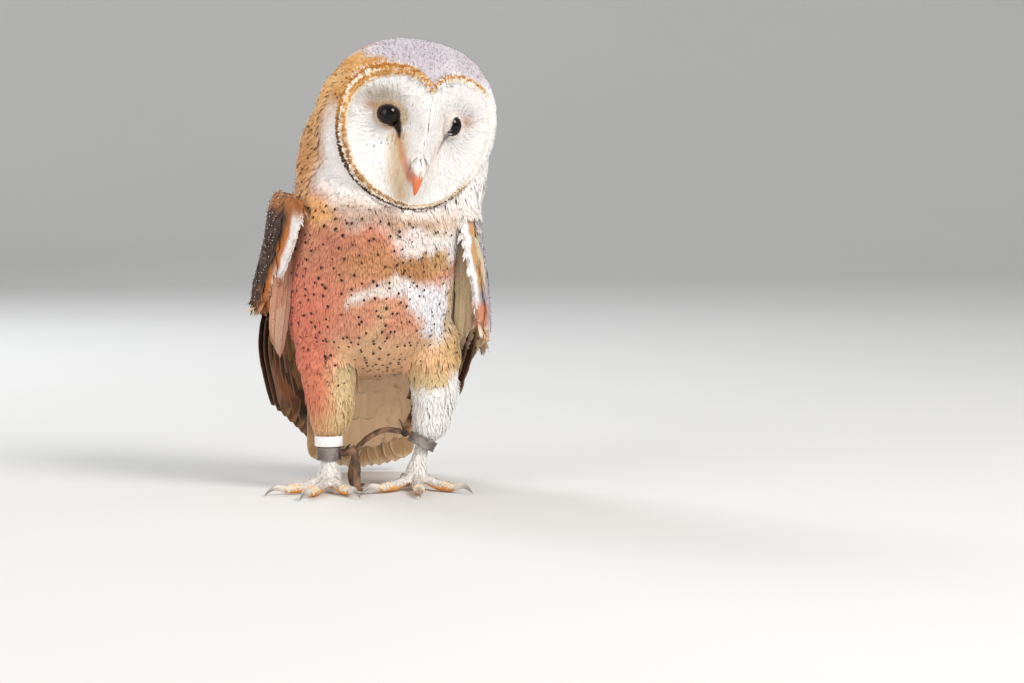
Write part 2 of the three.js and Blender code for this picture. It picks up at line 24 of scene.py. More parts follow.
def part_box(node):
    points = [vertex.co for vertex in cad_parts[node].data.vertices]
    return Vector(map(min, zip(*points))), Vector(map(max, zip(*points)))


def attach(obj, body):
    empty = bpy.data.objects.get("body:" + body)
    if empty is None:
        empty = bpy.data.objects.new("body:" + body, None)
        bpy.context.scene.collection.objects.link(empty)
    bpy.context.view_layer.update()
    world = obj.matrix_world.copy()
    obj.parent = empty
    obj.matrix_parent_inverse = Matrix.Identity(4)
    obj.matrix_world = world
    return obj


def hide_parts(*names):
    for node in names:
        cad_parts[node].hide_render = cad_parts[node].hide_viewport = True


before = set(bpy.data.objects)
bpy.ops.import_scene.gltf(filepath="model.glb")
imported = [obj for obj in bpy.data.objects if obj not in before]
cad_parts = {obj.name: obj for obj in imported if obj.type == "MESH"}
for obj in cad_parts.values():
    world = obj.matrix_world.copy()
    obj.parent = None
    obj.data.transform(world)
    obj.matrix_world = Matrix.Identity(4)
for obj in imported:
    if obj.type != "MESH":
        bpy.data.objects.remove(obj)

log = logging.getLogger("barn_owl")

Array = np.ndarray
Object = bpy.types.Object
Material = bpy.types.Material
Paint = Callable[[Array], Array]

MM = 0.001
BODY = "root"
VANE = "Vane"
BAKE = "OFBake"
TINT = "Tint"

# Large odd numbers, so that neighbouring corners of a cloud's lattice get unlike values.
LATTICE_KEYS = (73856093, 19349663, 83492791)
SEED_KEY = 2654435
TURN_KEY = 1103515245
SHIFT_KEY = 12345
LAST_KEY = 60493
LARGEST_KEY = 0x7FFFFFFF
SHARP_EDGE = math.radians(65)


class Part(IntEnum):
    """The stretches of the owl's surface that differ in plumage."""

    DISC = 0
    CROWN = 1
    NECK = 2
    TRUNK = 3
    THIGH = 4
    SHANK = 5
    TOE = 6
    WING = 7


class Side(IntEnum):
    """The owl's own sides, as the sign of X."""

    RIGHT = -1
    LEFT = 1

    @property
    def word(self) -> str:
        """The side's name as the solids use it."""
        return "left" if self is Side.LEFT else "right"


# ---- numbers over whole arrays ----


def unit(vectors: Array) -> Array:
    """Scales vectors to length one."""
    return vectors / np.maximum(np.linalg.norm(vectors, axis=-1, keepdims=True), 1e-9)


def ease(low: float, high: float, value: Array) -> Array:
    """A smooth rise from 0 at low to 1 at high, or a fall where high is the smaller."""
    share = np.clip((value - low) / (high - low), 0.0, 1.0)
    return share * share * (3.0 - 2.0 * share)


def within(value: Array, low: float, high: float, soft: float) -> Array:
    """A mask that is 1 from low to high and fades over the soft distance outside."""
    return ease(low - soft, low + soft, value) * ease(high + soft, high - soft, value)


def near(points: Array, path: Sequence[Sequence[float]]) -> tuple[Array, Array]:
    """How far flat points are from a path, and how far along it they lie.

    Args:
        points: The points, N by 2.
        path: The path's corners.

    Returns:
        The distance, and the share of the path's corners passed, from 0 to 1.
    """
    corners = np.array(path, float)
    best = np.full(len(points), np.inf)
    place = np.zeros(len(points))
    for i, (start, end) in enumerate(zip(corners[:-1], corners[1:])):
        along = end - start
        share = np.clip((points - start) @ along / (along @ along), 0.0, 1.0)
        gap = np.linalg.norm(points - start - share[:, None] * along, axis=1)
        closer = gap < best
        best = np.where(closer, gap, best)
        place = np.where(closer, (i + share) / (len(corners) - 1), place)
    return best, place


def cloud(points: Array, size: float, seed: int) -> Array:
    """Smooth noise from -1 to 1.

    Args:
        points: Places, N by 3.
        size: About the size of the noise's lumps, in the places' unit.
        seed: Which noise it is.

    Returns:
        The noise at each place.
    """
    grid = points / size + seed * 7.31
    cell = np.floor(grid).astype(np.int64)
    part = ease(0.0, 1.0, grid - cell)
    total = np.zeros(len(points))
    for corner in range(8):
        offset = np.array([(corner >> axis) & 1 for axis in range(3)])
        key = np.bitwise_xor.reduce((cell + offset) * LATTICE_KEYS, axis=1) ^ seed * SEED_KEY
        key = (key * TURN_KEY + SHIFT_KEY) & LARGEST_KEY
        key = (key ^ (key >> 13)) * LAST_KEY & LARGEST_KEY
        weight = np.prod(np.where(offset == 1, part, 1.0 - part), axis=1)
        total += weight * key / LARGEST_KEY
    return total * 2.0 - 1.0


def ink(code: str) -> Array:
    """The linear colour of a hexadecimal colour code."""
    steps = np.array([int(code[i : i + 2], 16) / 255.0 for i in (0, 2, 4)])
    return np.where(steps <= 0.04045, steps / 12.92, ((steps + 0.055) / 1.055) ** 2.4)


def wash(colour: str, points: Array) -> Array:
    """One colour for every point."""
    return np.tile(ink(colour), (len(points), 1))


def blend(first: Array, second: Array, share: Array) -> Array:
    """Fades from one array's rows to another's."""
    return first + (second - first) * np.reshape(share, (-1, 1))


def laid(base: Array, *layers: str | Array) -> Array:
    """Lays colours over others, one after another.

    Args:
        base: The colours underneath, N by 3.
        *layers: Hexadecimal codes, each followed by a mask that says how strong it is.

    Returns:
        The colours that show.
    """
    for colour, mask in zip(layers[::2], layers[1::2]):
        base = blend(base, ink(colour), np.clip(mask, 0.0, 1.0))
    return base


def spot(x: Array, x_middle: float, x_size: float, z: Array, z_middle: float, z_size: float) -> Array:
    """A soft oval mask, 1 at its middle."""
    return np.exp(-(((x - x_middle) / x_size) ** 2) - ((z - z_middle) / z_size) ** 2)


def curved(a: Array, b: Array, c: Array, d: Array, t: Array) -> Array:
    """Points of the smooth curve from b to c whose neighbours are a and d."""
    bent = (2 * a - 5 * b + 4 * c - d) * t**2
    return 0.5 * (2 * b + (c - a) * t + bent + (3 * b - a - 3 * c + d) * t**3)


def triples(x: Array | float, y: Array | float, z: Array | float) -> Array:
    """Points or directions from their three parts, each an array or one number for all."""
    return np.stack(np.broadcast_arrays(x, y, z), axis=1)


def hand(at: Array) -> Array:
    """The side that points lie on, as the sign of X."""
    return np.where(at[:, 0] < 0, -1.0, 1.0)


# ---- where things are ----


@dataclass
class Places:
    """The owl's own frames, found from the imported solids.

    The head's frame has its origin at the middle of the skull, its bill towards -Y and its
    crown towards +Z; roll tips the crown to the owl's left, nod drops the bill and turn looks
    to the owl's left.
    """

    roll: float = 10.0
    nod: float = 7.0
    turn: float = 6.5
    leg_x: float = 28.0
    foot_y: float = -2.0
    eye: tuple[float, float, float] = (19.6, -27.5, 9.0)
    shift: Array = field(init=False)
    head: Matrix = field(init=False)

    def __post_init__(self) -> None:
        """Reads the shift from the leg ring and the head's centre from the eyes."""
        ring = self.middle("leg_ring")
        self.shift = np.array([ring.x + self.leg_x * MM, ring.y, 0.0])
        turned = Euler([math.radians(a) for a in (self.nod, self.roll, self.turn)], "XYZ").to_matrix()
        eyes = (self.middle("eye_left") + self.middle("eye_right")) / 2
        between = Vector((0.0, self.eye[1] * MM, self.eye[2] * MM))
        self.head = Matrix.Translation(eyes - turned @ between) @ turned.to_4x4()

    @staticmethod
    def middle(node: str) -> Vector:
        """The middle of a node's box."""
        low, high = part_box(node)
        return (low + high) / 2

    def point(self, x: float, y: float, z: float) -> Vector:
        """A point given in owl-local millimetres."""
        return Vector((x * MM + self.shift[0], y * MM + self.shift[1], z * MM))

    def local(self, points: Array) -> Array:
        """Points in owl-local millimetres."""
        return (points - self.shift) / MM

    def in_head(self, points: Array) -> Array:
        """Points in the head's own frame, in millimetres."""
        back = np.array(self.head.inverted())
        return (points @ back[:3, :3].T + back[:3, 3]) / MM

    def out_of_head(self, points: Array) -> Array:
        """Points of the head's own frame, in millimetres, back in the row frame."""
        there = np.array(self.head)
        return (points * MM) @ there[:3, :3].T + there[:3, 3]

    def head_way(self, ways: Array) -> Array:
        """Directions of the head's own frame, turned into the row frame."""
        return ways @ np.array(self.head.to_3x3()).T


@dataclass(frozen=True)
class Disc:
    """The heart-shaped face's outline, in the head's frame."""

    half_width: float = 47.8
    half_height: float = 46.2
    lift: float = 1.0
    notch: float = 17.0
    notch_spread: float = 0.346
    lobe: float = 4.7
    lobe_at: float = 1.07
    lobe_spread: float = 0.456

    def radius(self, from_top: Array) -> Array:
        """The rim's distance from the disc's centre, at an angle from straight up.

        Args:
            from_top: Angles from straight up, in radians.

        Returns:
            The distances, in millimetres.
        """
        around = np.abs((from_top + np.pi) % (2 * np.pi) - np.pi)
        oval = 1.0 / np.hypot(np.sin(around) / self.half_width, np.cos(around) / self.half_height)
        cleft = self.notch * np.exp(-around / self.notch_spread)
        lobes = self.lobe * np.exp(-(((around - self.lobe_at) / self.lobe_spread) ** 2))
        return oval - cleft + lobes

    def reach(self, heads: Array) -> tuple[Array, Array]:
        """How far points lie inside the rim.

        Args:
            heads: Points in the head's frame.

        Returns:
            The distance as a share of the rim's radius, and the angle from straight up.
        """
        from_top = np.arctan2(heads[:, 0], heads[:, 2] - self.lift)
        out = np.hypot(heads[:, 0], heads[:, 2] - self.lift)
        return out / self.radius(from_top), from_top


WING_TOP = 191.0
WING_LENGTH = {Side.RIGHT: 77.0, Side.LEFT: 96.0}
WING_FRONT = (-34.0, -38.0, -36.0, -28.0, -16.0, -2.0)


def wing_fall(at: Array) -> Array:
    """How far down their wing owl-local points lie, as a share of its length."""
    length = np.where(at[:, 0] > 0, WING_LENGTH[Side.LEFT], WING_LENGTH[Side.RIGHT])
    return (WING_TOP - at[:, 2]) / length


def wing_edge(at: Array) -> Array:
    """How far owl-local points lie behind their wing's leading edge, in millimetres."""
    share = np.clip(wing_fall(at), 0.0, 1.0)
    return at[:, 1] - np.interp(share, np.linspace(0, 1, len(WING_FRONT)), WING_FRONT)


# ---- markings ----


@dataclass(frozen=True)
class EyeCast:
    """The colours about one eye: how strong each is, and its dark tear. The ring about the eye and the shade
    beside the bill are painted shade.
    """

    side: Side
    outer: float
    ring: float
    shade: float
    rust: float
    tear: tuple
    tear_width: tuple[float, float]
    tear_colour: str
    tear_strength: float


EYE_CASTS = (
    EyeCast(Side.RIGHT, 0.8, 0.8, 0.8, 0.85, ((-15.4, 5.0), (-13.4, 0.5), (-12.4, -4.0)), (2.7, 2.5),
            "140c09", 1.0),
    EyeCast(Side.LEFT, 0.64, 0.15, 0.1, 0.3, ((17.6, 1.5), (15.4, -3.0), (13.4, -9.0)), (1.3, 1.1),
            "8f7477", 0.7),
)


@dataclass
class Markings:
    """The owl's colours at every place, shared by its skin and its coat."""

    places: Places
    disc: Disc

    def tint(self, points: Array, parts: Array) -> Array:
        """The colour of each point.

        Args:
            points: Points in the row frame.
            parts: The part of the body that each belongs to.

        Returns:
            Linear colours.
        """
        colours = np.ones((len(points), 3))
        painters: dict[Part, Paint] = {
            Part.DISC: self.face,
            **dict.fromkeys((Part.CROWN, Part.NECK, Part.TRUNK), self.body),
            Part.THIGH: self.leg,
            **dict.fromkeys((Part.SHANK, Part.TOE), self.foot),
            Part.WING: self.wing,
        }
        for part, painter in painters.items():
            chosen = parts == part
            if chosen.any():
                colours[chosen] = painter(points[chosen])
        return colours

    def face(self, points: Array) -> Array:
        """White, with the short dark tear of each eye, painted shadow under the right brow, and warm painted
        shade about the eyes and beside the bill.

        Args:
            points: Points in the row frame.

        Returns:
            Linear colours.
        """
        at = self.places.in_head(points)
        x, _, z = at.T
        flat = at[:, ::2]
        wave = cloud(at, 5.0, 3)
        colours = laid(
            wash("faf8f6", points),
            # Painted shadow under the right brow, above the eye.
            "a39274", 0.85 * spot(x, -28, 13, z - 0.05 * (x + 28), 19, 6) * (1 + 0.25 * wave),
            "bdb7b8", 0.6 * spot(x, -46, 5, z, 9, 10) * (1 + 0.6 * wave),
            "c8bcc3", 0.5 * spot(x, 31, 8, z, 18, 5),
        )
        for cast in EYE_CASTS:
            side = cast.side
            ring = np.hypot(x * side - 19.6, (z - 9) * 1.05)
            shade, _ = near(flat, [(side * 13, -4), (side * 11.5, -18), (side * 8.5, -30), (side * 5, -39)])
            bill, way = near(flat, [(side * 13, -3), (side * 10, -12), (side * 7, -19), (side * 2.5, -27)])
            broad = 1.0 + 0.9 * way
            tear, down = near(flat, cast.tear)
            thick = cast.tear_width[0] - cast.tear_width[1] * down
            colours = laid(
                colours,
                "c78f60", cast.outer * spot(x * side, 30, 5.5, z, 12.5, 3.2),
                # A tan ring about the eye: painted shade, strong on the right eye and faint on the left.
                "d3b892", cast.ring * ease(11.5, 8.0, ring),
                # Tan beside the bill along the ridge: painted shade, strong on the right side and faint on
                # the left.
                "d8b681", cast.shade * ease(9.0, 0.0, shade + wave),
                "d47f52", cast.rust * (0.6 + 0.4 * way) * ease(broad + 1.6, broad - 1.0, bill),
                cast.tear_colour, cast.tear_strength * ease(thick + 0.8, thick - 0.6, tear),
            )
        share, _ = self.disc.reach(at)
        return laid(colours, "ecd7b8", 0.3 * ease(0.9, 0.97, share) * (1 + wave))

    def dorsal(self, points: Array) -> Array:
        """The back's golden buff under a broken veil of pearl grey.

        Args:
            points: Points in the row frame.

        Returns:
            Linear colours.
        """
        at = self.places.local(points)
        wave = cloud(at, 12.0, 2)
        fine = cloud(at * (1.0, 1.0, 0.5), 3.0, 4)
        return laid(
            wash("d3a468", points),
            "b98048", 0.6 * ease(0.0, 0.9, -wave),
            "b7afb4", 0.85 * ease(-0.35, 0.35, wave + 0.7 * fine),
            "e3dee0", 0.5 * ease(0.4, 0.9, wave + 0.7 * fine),
        )

    def veil(self, points: Array) -> Array:
        """How much of the crown's lilac-grey veil lies at each point.

        Args:
            points: Points in the row frame.

        Returns:
            Shares from 0 to 1.
        """
        at = self.places.in_head(points)
        x, _, z = at.T
        wave = cloud(at, 9.0, 5)
        return ease(-39, -27, x + 6 * wave) * ease(12, 28, z + 0.55 * x + 5 * wave)

    def cheek(self, points: Array) -> Array:
        """How white each point is, behind and below the face.

        Args:
            points: Points in the row frame.

        Returns:
            Shares from 0 to 1.
        """
        at = self.places.in_head(points)
        x, y, z = at.T
        wave = cloud(at, 8.0, 7)
        under = ease(18, 0, z + 4 * wave) * ease(4, -12, y + 4 * wave) * ease(-60, -49, x + wave)
        left = ease(22, 38, x + 4 * wave) * ease(22, 2, y + 4 * wave) * ease(44, 30, z)
        return np.maximum(under, 0.9 * left) * ease(-60, -46, z)

    def crown(self, points: Array) -> Array:
        """Lilac-grey over gold on top, gold to rust at the sides, white behind the cheeks.

        Args:
            points: Points in the row frame.

        Returns:
            Linear colours.
        """
        at = self.places.in_head(points)
        _, y, z = at.T
        wave = cloud(at, 9.0, 5)
        fine = cloud(at, 2.6, 6)
        gold = laid(
            wash("cf9148", points),
            "b8683a", 0.8 * ease(4, -34, z + 7 * wave),
            "e6bf88", 0.6 * ease(-0.1, 0.7, wave + 0.3 * fine),
        )
        veil = self.veil(points)
        return laid(
            blend(gold, self.dorsal(points), ease(2, 34, y + 7 * wave)),
            "c5bdc3", veil,
            "e0dadf", veil * ease(0.0, 0.9, wave + 0.5 * fine) * 0.6,
            "f8f4f2", self.cheek(points),
        )

    def breast(self, points: Array) -> Array:
        """Salmon below, clouded with buff, brown and white; the brown bands are painted shadow, the pale
        bands partly painted light, and the right side's deeper salmon partly painted shade.

        Args:
            points: Points in the row frame.

        Returns:
            Linear colours.
        """
        at = self.places.local(points)
        wave = cloud(at, 12.0, 8)
        fine = cloud(at * (1, 1, 0.4), 3.0, 9)
        x = at[:, 0] + 5 * wave + 1.5 * fine
        z = at[:, 2] + 4.5 * wave + 2.5 * fine
        over = z - (132 + 0.12 * x)
        flat = np.stack([x, z], axis=1)
        parting, _ = near(flat, [(0, 118), (-5, 104), (-9, 90)])
        streak, _ = near(flat, [(-18, 124), (-6, 129), (8, 131), (24, 126)])
        return laid(
            wash("dd9c7b", points),
            # Deeper salmon and salmon-brown on the owl's right side: partly the plumage's own colour, partly
            # painted shade with warm reflected light.
            "e88a70", ease(-14, -46, x) * ease(156, 124, z),
            "bf7a5f", 0.75 * within(x, -42, 0, 10) * within(z, 142, 168, 8),
            "fbcb9e", 0.9 * ease(107, 92, z) * ease(-40, -20, x),
            "ecc091", 0.9 * ease(16, 34, x) * ease(112, 98, z),
            "e3bd90", 0.6 * ease(7, 1, parting),
            "e9dcd3", 0.8 * ease(160, 174, z + 0.12 * x),
            # Buff-brown band below the chin: painted shadow of the bill and chin.
            "b98d5f", 0.75 * within(x, 4, 36, 6) * within(z, 165, 175, 4),
            # Darker golden-brown band lower down, this line and the next: painted shadow.
            "b07f4c", 0.85 * within(x, -2, 34, 8) * within(over, 0, 17, 5),
            "c9a266", 0.8 * within(x, 30, 50, 6) * within(over, 3, 15, 5),
            "bf8a5e", 0.7 * within(x, -26, 4, 8) * within(z, 134, 156, 7),
            # Pale band between the brown ones: partly pale plumage, partly painted light on a lit ridge of
            # feathers.
            "efe8e4", 0.9 * within(z, 151, 167, 4) * ease(2, 18, x),
            "f3e9df", 0.9 * ease(6, 1, streak),
            "f5f1f3", ease(10, 24, x + 0.8 * (z - 118)) * within(z, 98, 132, 5),
            # Near-white on the owl's left flank: partly white plumage, partly painted sunlight.
            "f3eeec", 0.85 * ease(34, 46, x) * ease(138, 152, z) * ease(178, 168, z),
            # Tan low on the owl's left edge of the breast: painted shade where the breast turns away.
            "cfab77", 0.85 * ease(42, 49, x) * ease(140, 128, z),
            "e8c9a6", 0.7 * ease(26, 38, x) * within(z, 166, 188, 6),
            "d08b52", 0.8 * within(z, 184, 215, 8) * ease(-26, -40, x),
            "eeb579", within(x, -50, -32, 5) * within(z, 168, 188, 5),
            "f0e2d2", 0.6 * within(x, 8, 34, 6) * ease(170, 180, z),
            # Olive-brown band under the ruff: painted shadow of the head.
            "a98062", 0.6 * within(x, -34, 8, 8) * within(z, 168, 179, 4),
            "e6b985", ease(84, 72, at[:, 2]) * ease(8, 20, at[:, 1]),
        )

    def body(self, points: Array) -> Array:
        """Head, neck and trunk in one, each fading into the next.

        Args:
            points: Points in the row frame.

        Returns:
            Linear colours.
        """
        at = self.places.local(points)
        wave = cloud(at, 10.0, 12)
        trunk = blend(self.breast(points), self.dorsal(points), ease(8, 26, at[:, 1] + 6 * wave))
        return blend(
            self.crown(points), trunk, ease(-36, -54, self.places.in_head(points)[:, 2] + 5 * wave)
        )

    def leg(self, points: Array) -> Array:
        """Salmon to cream on the right thigh, buff above pure white on the left one.

        Args:
            points: Points in the row frame.

        Returns:
            Linear colours.
        """
        at = self.places.local(points)
        x, y, z = at.T
        wave = cloud(at, 6.0, 11)
        right = laid(
            wash("e38a6a", points),
            "dfc595", ease(-37, -21, x + 2 * wave),
            "e8c492", 0.6 * ease(60, 40, z),
        )
        left = laid(
            wash("e6bf8f", points),
            "d8c496", 0.8 * ease(78, 66, z + 2 * wave),
            "fbf9f7", ease(68, 60, z + 3.5 * wave),
            "fbf9f7", ease(44, 52, x + wave) * ease(80, 68, z),
        )
        colours = np.where((x < 0)[:, None], right, left)
        return laid(colours, "c79257", 0.5 * ease(8, 20, y) * ease(60, 75, z))

    def foot(self, points: Array) -> Array:
        """White bristled skin that shows orange-yellow along the sides of the toes.

        Args:
            points: Points in the row frame.

        Returns:
            Linear colours.
        """
        at = self.places.local(points)
        wave = cloud(at, 3.0, 13)
        return laid(
            wash("f6f1ea", points),
            "eda23f", 0.95 * ease(5.2, 3.0, at[:, 2] + 1.4 * wave),
            "d87a2c", 0.6 * ease(2.4, 0.8, at[:, 2] + 0.7 * wave),
        )

    def wing(self, points: Array) -> Array:
        """White leading edge, rust band, dark coverts, and a grey and gold back edge; the right wing's
        near-black coverts are painted shade, the left wing's are grey.

        Args:
            points: Points in the row frame.

        Returns:
            Linear colours.
        """
        at = self.places.local(points)
        x, _, z = at.T
        wave = cloud(at, 6.0, 15)
        fine = cloud(at, 2.0, 16)
        edge = wing_edge(at) + 1.2 * wave
        dorsal = self.dorsal(points)
        behind = ease(34, 52, edge + 5 * wave)
        # The right wing's coverts in near-black brown: painted shade, with the wing's own rust band and
        # specks over it.
        dark = laid(
            wash("432c22", points),
            "75645c", 0.45 * ease(0.1, 0.7, fine + 0.5 * wave),
            "a8714a", 0.7 * ease(134, 120, z + 3 * wave) * ease(0.0, 0.4, fine),
            "c9793a", 0.9 * within(edge, 6.0, 10.5, 1.5) * ease(176, 166, z),
            "b5743f", 0.8 * ease(174, 184, z + 3 * wave),
        )
        dark = laid(
            blend(dark, dorsal, behind),
            "a8683c", ease(12, 8, edge) * ease(166, 174, z),
            "f7eeea", ease(8.5, 6.0, edge) * within(z, 132, 174, 5),
            "dfa98c", ease(8.0, 5.5, edge) * ease(140, 130, z + 2 * wave),
        )
        grey = laid(
            wash("aba5ac", points),
            "d4ced2", 0.6 * ease(0.0, 0.6, fine),
            "cf9a58", 0.9 * within(edge, 7, 12, 2) * ease(122, 132, z),
        )
        grey = laid(
            blend(grey, dorsal, behind),
            "fbf7f6", ease(8.0, 6.0, edge),
            "d98a5c", 0.9 * ease(13, 10, edge) * within(z, 101, 118, 3),
            "efd6bd", ease(15, 11, edge) * ease(104, 100, z),
        )
        # Grey coverts on the left wing, painted-shade dark ones on the right.
        return np.where((x > 0)[:, None], grey, dark)

    def under_wing(self, points: Array) -> Array:
        """Buff, with a white leading edge and a rust patch by the wing's lower tip.

        Args:
            points: Points in the row frame.

        Returns:
            Linear colours.
        """
        at = self.places.local(points)
        z = at[:, 2]
        wave = cloud(at, 6.0, 17)
        edge = wing_edge(at) + wave
        right = at[:, 0] < 0
        lowest = np.where(right, 136.0, 108.0)
        white = ease(11, 7, edge) * ease(-4, 4, z - lowest)
        return laid(
            wash("e9cd9f", points),
            "f3e4ca", 0.6 * ease(0.0, 0.7, wave),
            "d0824a", 0.85 * within(edge, 3, 9, 2) * ease(118, 108, z),
            "a8663c", right * ease(14, 10, edge) * (1 - within(z, 138, 174, 4)),
            "f8f4f0", white * (1 - right * ease(170, 176, z)),
        )


# ---- finishes ----


class Nodes:
    """A short hand for building one material's node tree."""

    def __init__(self, name: str) -> None:
        """Starts a material with a principled shader.

        Args:
            name: The material's name.
        """
        self.material = bpy.data.materials.new(name)
        self.material.use_nodes = True
        self.tree = self.material.node_tree
        self.shader = self.tree.nodes["Principled BSDF"]

    def add(self, kind: str, **settings: object) -> bpy.types.Node:
        """Adds a node; settings are its properties.

        Args:
            kind: The node's type.
            **settings: Its properties.

        Returns:
            The node.
        """
        node = self.tree.nodes.new(kind)
        for key, value in settings.items():
            setattr(node, key, value)
        return node

    def link(self, source: object, target: object) -> None:
        """Joins an output to an input."""
        self.tree.links.new(source, target)

    def feed(self, node: bpy.types.Node, key: object, value: object) -> None:
        """Gives an input a value, or the output that it is joined to.

        Args:
            node: The node.
            key: The input's name or number.
            value: A value, or another node's output.
        """
        if isinstance(value, bpy.types.NodeSocket):
            self.link(value, node.inputs[key])
        else:
            node.inputs[key].default_value = value

    def math(self, operation: str, *values: object) -> object:
        """A Math node's output.

        Args:
            operation: What it works out.
            *values: Its numbers, or other outputs.

        Returns:
            The node's output.
        """
        node = self.add("ShaderNodeMath", operation=operation)
        for i, value in enumerate(values):
            self.feed(node, i, value)
        return node.outputs[0]

    def ramp(self, value: object, low: float, high: float) -> object:
        """A smooth 0 to 1 as the value goes from low to high, or back where high is less.

        Args:
            value: A number, or another node's output.
            low: The value that gives 0.
            high: The value that gives 1.

        Returns:
            The node's output.
        """
        node = self.add("ShaderNodeMapRange", interpolation_type="SMOOTHSTEP")
        flip = low > high
        self.feed(node, "Value", value)
        self.feed(node, "From Min", min(low, high))
        self.feed(node, "From Max", max(low, high))
        self.feed(node, "To Min", 1.0 if flip else 0.0)
        self.feed(node, "To Max", 0.0 if flip else 1.0)
        return node.outputs["Result"]

    def mix(self, share: object, first: object, second: object) -> object:
        """A colour mix's output; colours may be hexadecimal codes.

        Args:
            share: How much of the second colour shows.
            first: The colour at 0, as a hexadecimal code or an output.
            second: The colour at 1, in the same way.

        Returns:
            The node's output.
        """
        node = self.add("ShaderNodeMix", data_type="RGBA")
        self.feed(node, 0, share)
        for key, value in ((6, first), (7, second)):
            self.feed(node, key, (*ink(value), 1.0) if isinstance(value, str) else value)
        return node.outputs[2]

    def noise(self, scale: float, detail: float = 3.0) -> object:
        """Noise over the object's own coordinates.

        Args:
            scale: How fine it is.
            detail: How many finer layers it has.

        Returns:
            The node's output.
        """
        node = self.add("ShaderNodeTexNoise")
        self.feed(node, "Scale", scale)
        self.feed(node, "Detail", detail)
        self.link(self.place(), node.inputs["Vector"])
        return node.outputs["Fac"]

    def cells(self, scale: float, **settings: object) -> object:
        """Distances in a pattern of cells over the object's own coordinates.

        Args:
            scale: How fine it is.
            **settings: The node's properties.

        Returns:
            The node's output.
        """
        node = self.add("ShaderNodeTexVoronoi", **settings)
        self.feed(node, "Scale", scale)
        self.link(self.place(), node.inputs["Vector"])
        return node.outputs["Distance"]

    def place(self) -> object:
        """The object's own coordinates."""
        return self.add("ShaderNodeTexCoord").outputs["Object"]

    def tint(self) -> object:
        """The colour painted on the mesh."""
        return self.add("ShaderNodeAttribute", attribute_name=TINT).outputs["Color"]

    def vane(self) -> tuple[object, object]:
        """Places across and along a feather, each from 0 to 1.

        Returns:
            The two outputs.
        """
        split = self.add("ShaderNodeSeparateXYZ")
        self.link(self.add("ShaderNodeUVMap", uv_map=VANE).outputs[0], split.inputs[0])
        return split.outputs[0], split.outputs[1]

    def times(self, first: object, second: object) -> object:
        """The product of two values."""
        return self.math("MULTIPLY", first, second)

    def aside(self, across: object) -> object:
        """How far from a feather's shaft a place is."""
        return self.math("ABSOLUTE", self.math("SUBTRACT", across, 0.5))

    def slant(self, along: object, aside: object, slope: float) -> object:
        """Places along a feather, carried back towards its edges as its barbs are."""
        return self.math("SUBTRACT", along, self.times(aside, slope))

    def stripes(self, value: object, count: float) -> object:
        """A wave from -1 to 1 that comes round so many times as the value rises by 1."""
        return self.math("SINE", self.times(value, count * 2 * math.pi))

    def bump(self, height: object, depth: float) -> None:
        """Gives the shader relief, the depth in metres.

        Args:
            height: The relief, as another node's output.
            depth: The depth, in metres.
        """
        node = self.add("ShaderNodeBump")
        self.feed(node, "Height", height)
        self.feed(node, "Distance", depth)
        self.link(node.outputs[0], self.shader.inputs["Normal"])

    def surface(self, colour: object, roughness: object, **sockets: float) -> Material:
        """Sets the shader's colour, roughness and other sockets.

        Args:
            colour: An output, or a hexadecimal code.
            roughness: An output, or a number.
            **sockets: Other inputs by name, with _ for a space.

        Returns:
            The finished material.
        """
        self.feed(self.shader, "Base Color", (*ink(colour), 1.0) if isinstance(colour, str) else colour)
        self.feed(self.shader, "Roughness", roughness)
        for key, value in sockets.items():
            self.shader.inputs[key.replace("_", " ")].default_value = value
        return self.material


@dataclass(frozen=True)
class SoftPlume:
    """Soft contour feathers, coloured by the owl's markings."""

    name: str = "soft_plume"
    barbs: float = 26.0
    contrast: float = 0.07
    depth: float = 0.13

    def material(self) -> Material:
        """Faint barbs that slant from the shaft, over a root a little deeper in colour.

        Returns:
            The material.
        """
        nodes = Nodes(self.name)
        across, along = nodes.vane()
        line = nodes.stripes(nodes.slant(along, nodes.aside(across), 0.9), self.barbs)
        light = nodes.math("MULTIPLY_ADD", line, 0.25, nodes.noise(900.0, 2.0))
        root = nodes.mix(self.depth, nodes.tint(), "7a5640")
        deep = nodes.mix(nodes.ramp(along, 0.0, 0.7), root, nodes.tint())
        share = nodes.times(nodes.ramp(light, 0.75, 0.2), self.contrast)
        nodes.bump(light, 0.00006)
        return nodes.surface(
            nodes.mix(share, deep, nodes.mix(0.6, nodes.tint(), "5a4030")),
            0.82,
            Sheen_Weight=0.12,
            Sheen_Roughness=0.5,
            Specular_IOR_Level=0.25,
        )


@dataclass(frozen=True)
class SkinFinish:
    """Skin and down under the coat, in the coat's own markings."""

    name: str = "owl_skin"

    def material(self) -> Material:
        """The markings, a little deeper, with fine down and scales.

        Returns:
            The material.
        """
        nodes = Nodes(self.name)
        down = nodes.noise(1400.0, 4.0)
        height = nodes.math("ADD", down, nodes.cells(1100.0))
        deep = nodes.mix(0.08, nodes.tint(), "6b4a36")
        nodes.bump(height, 0.0002)
        return nodes.surface(
            nodes.mix(nodes.ramp(down, 0.35, 0.7), deep, nodes.tint()), 0.75, Specular_IOR_Level=0.3
        )


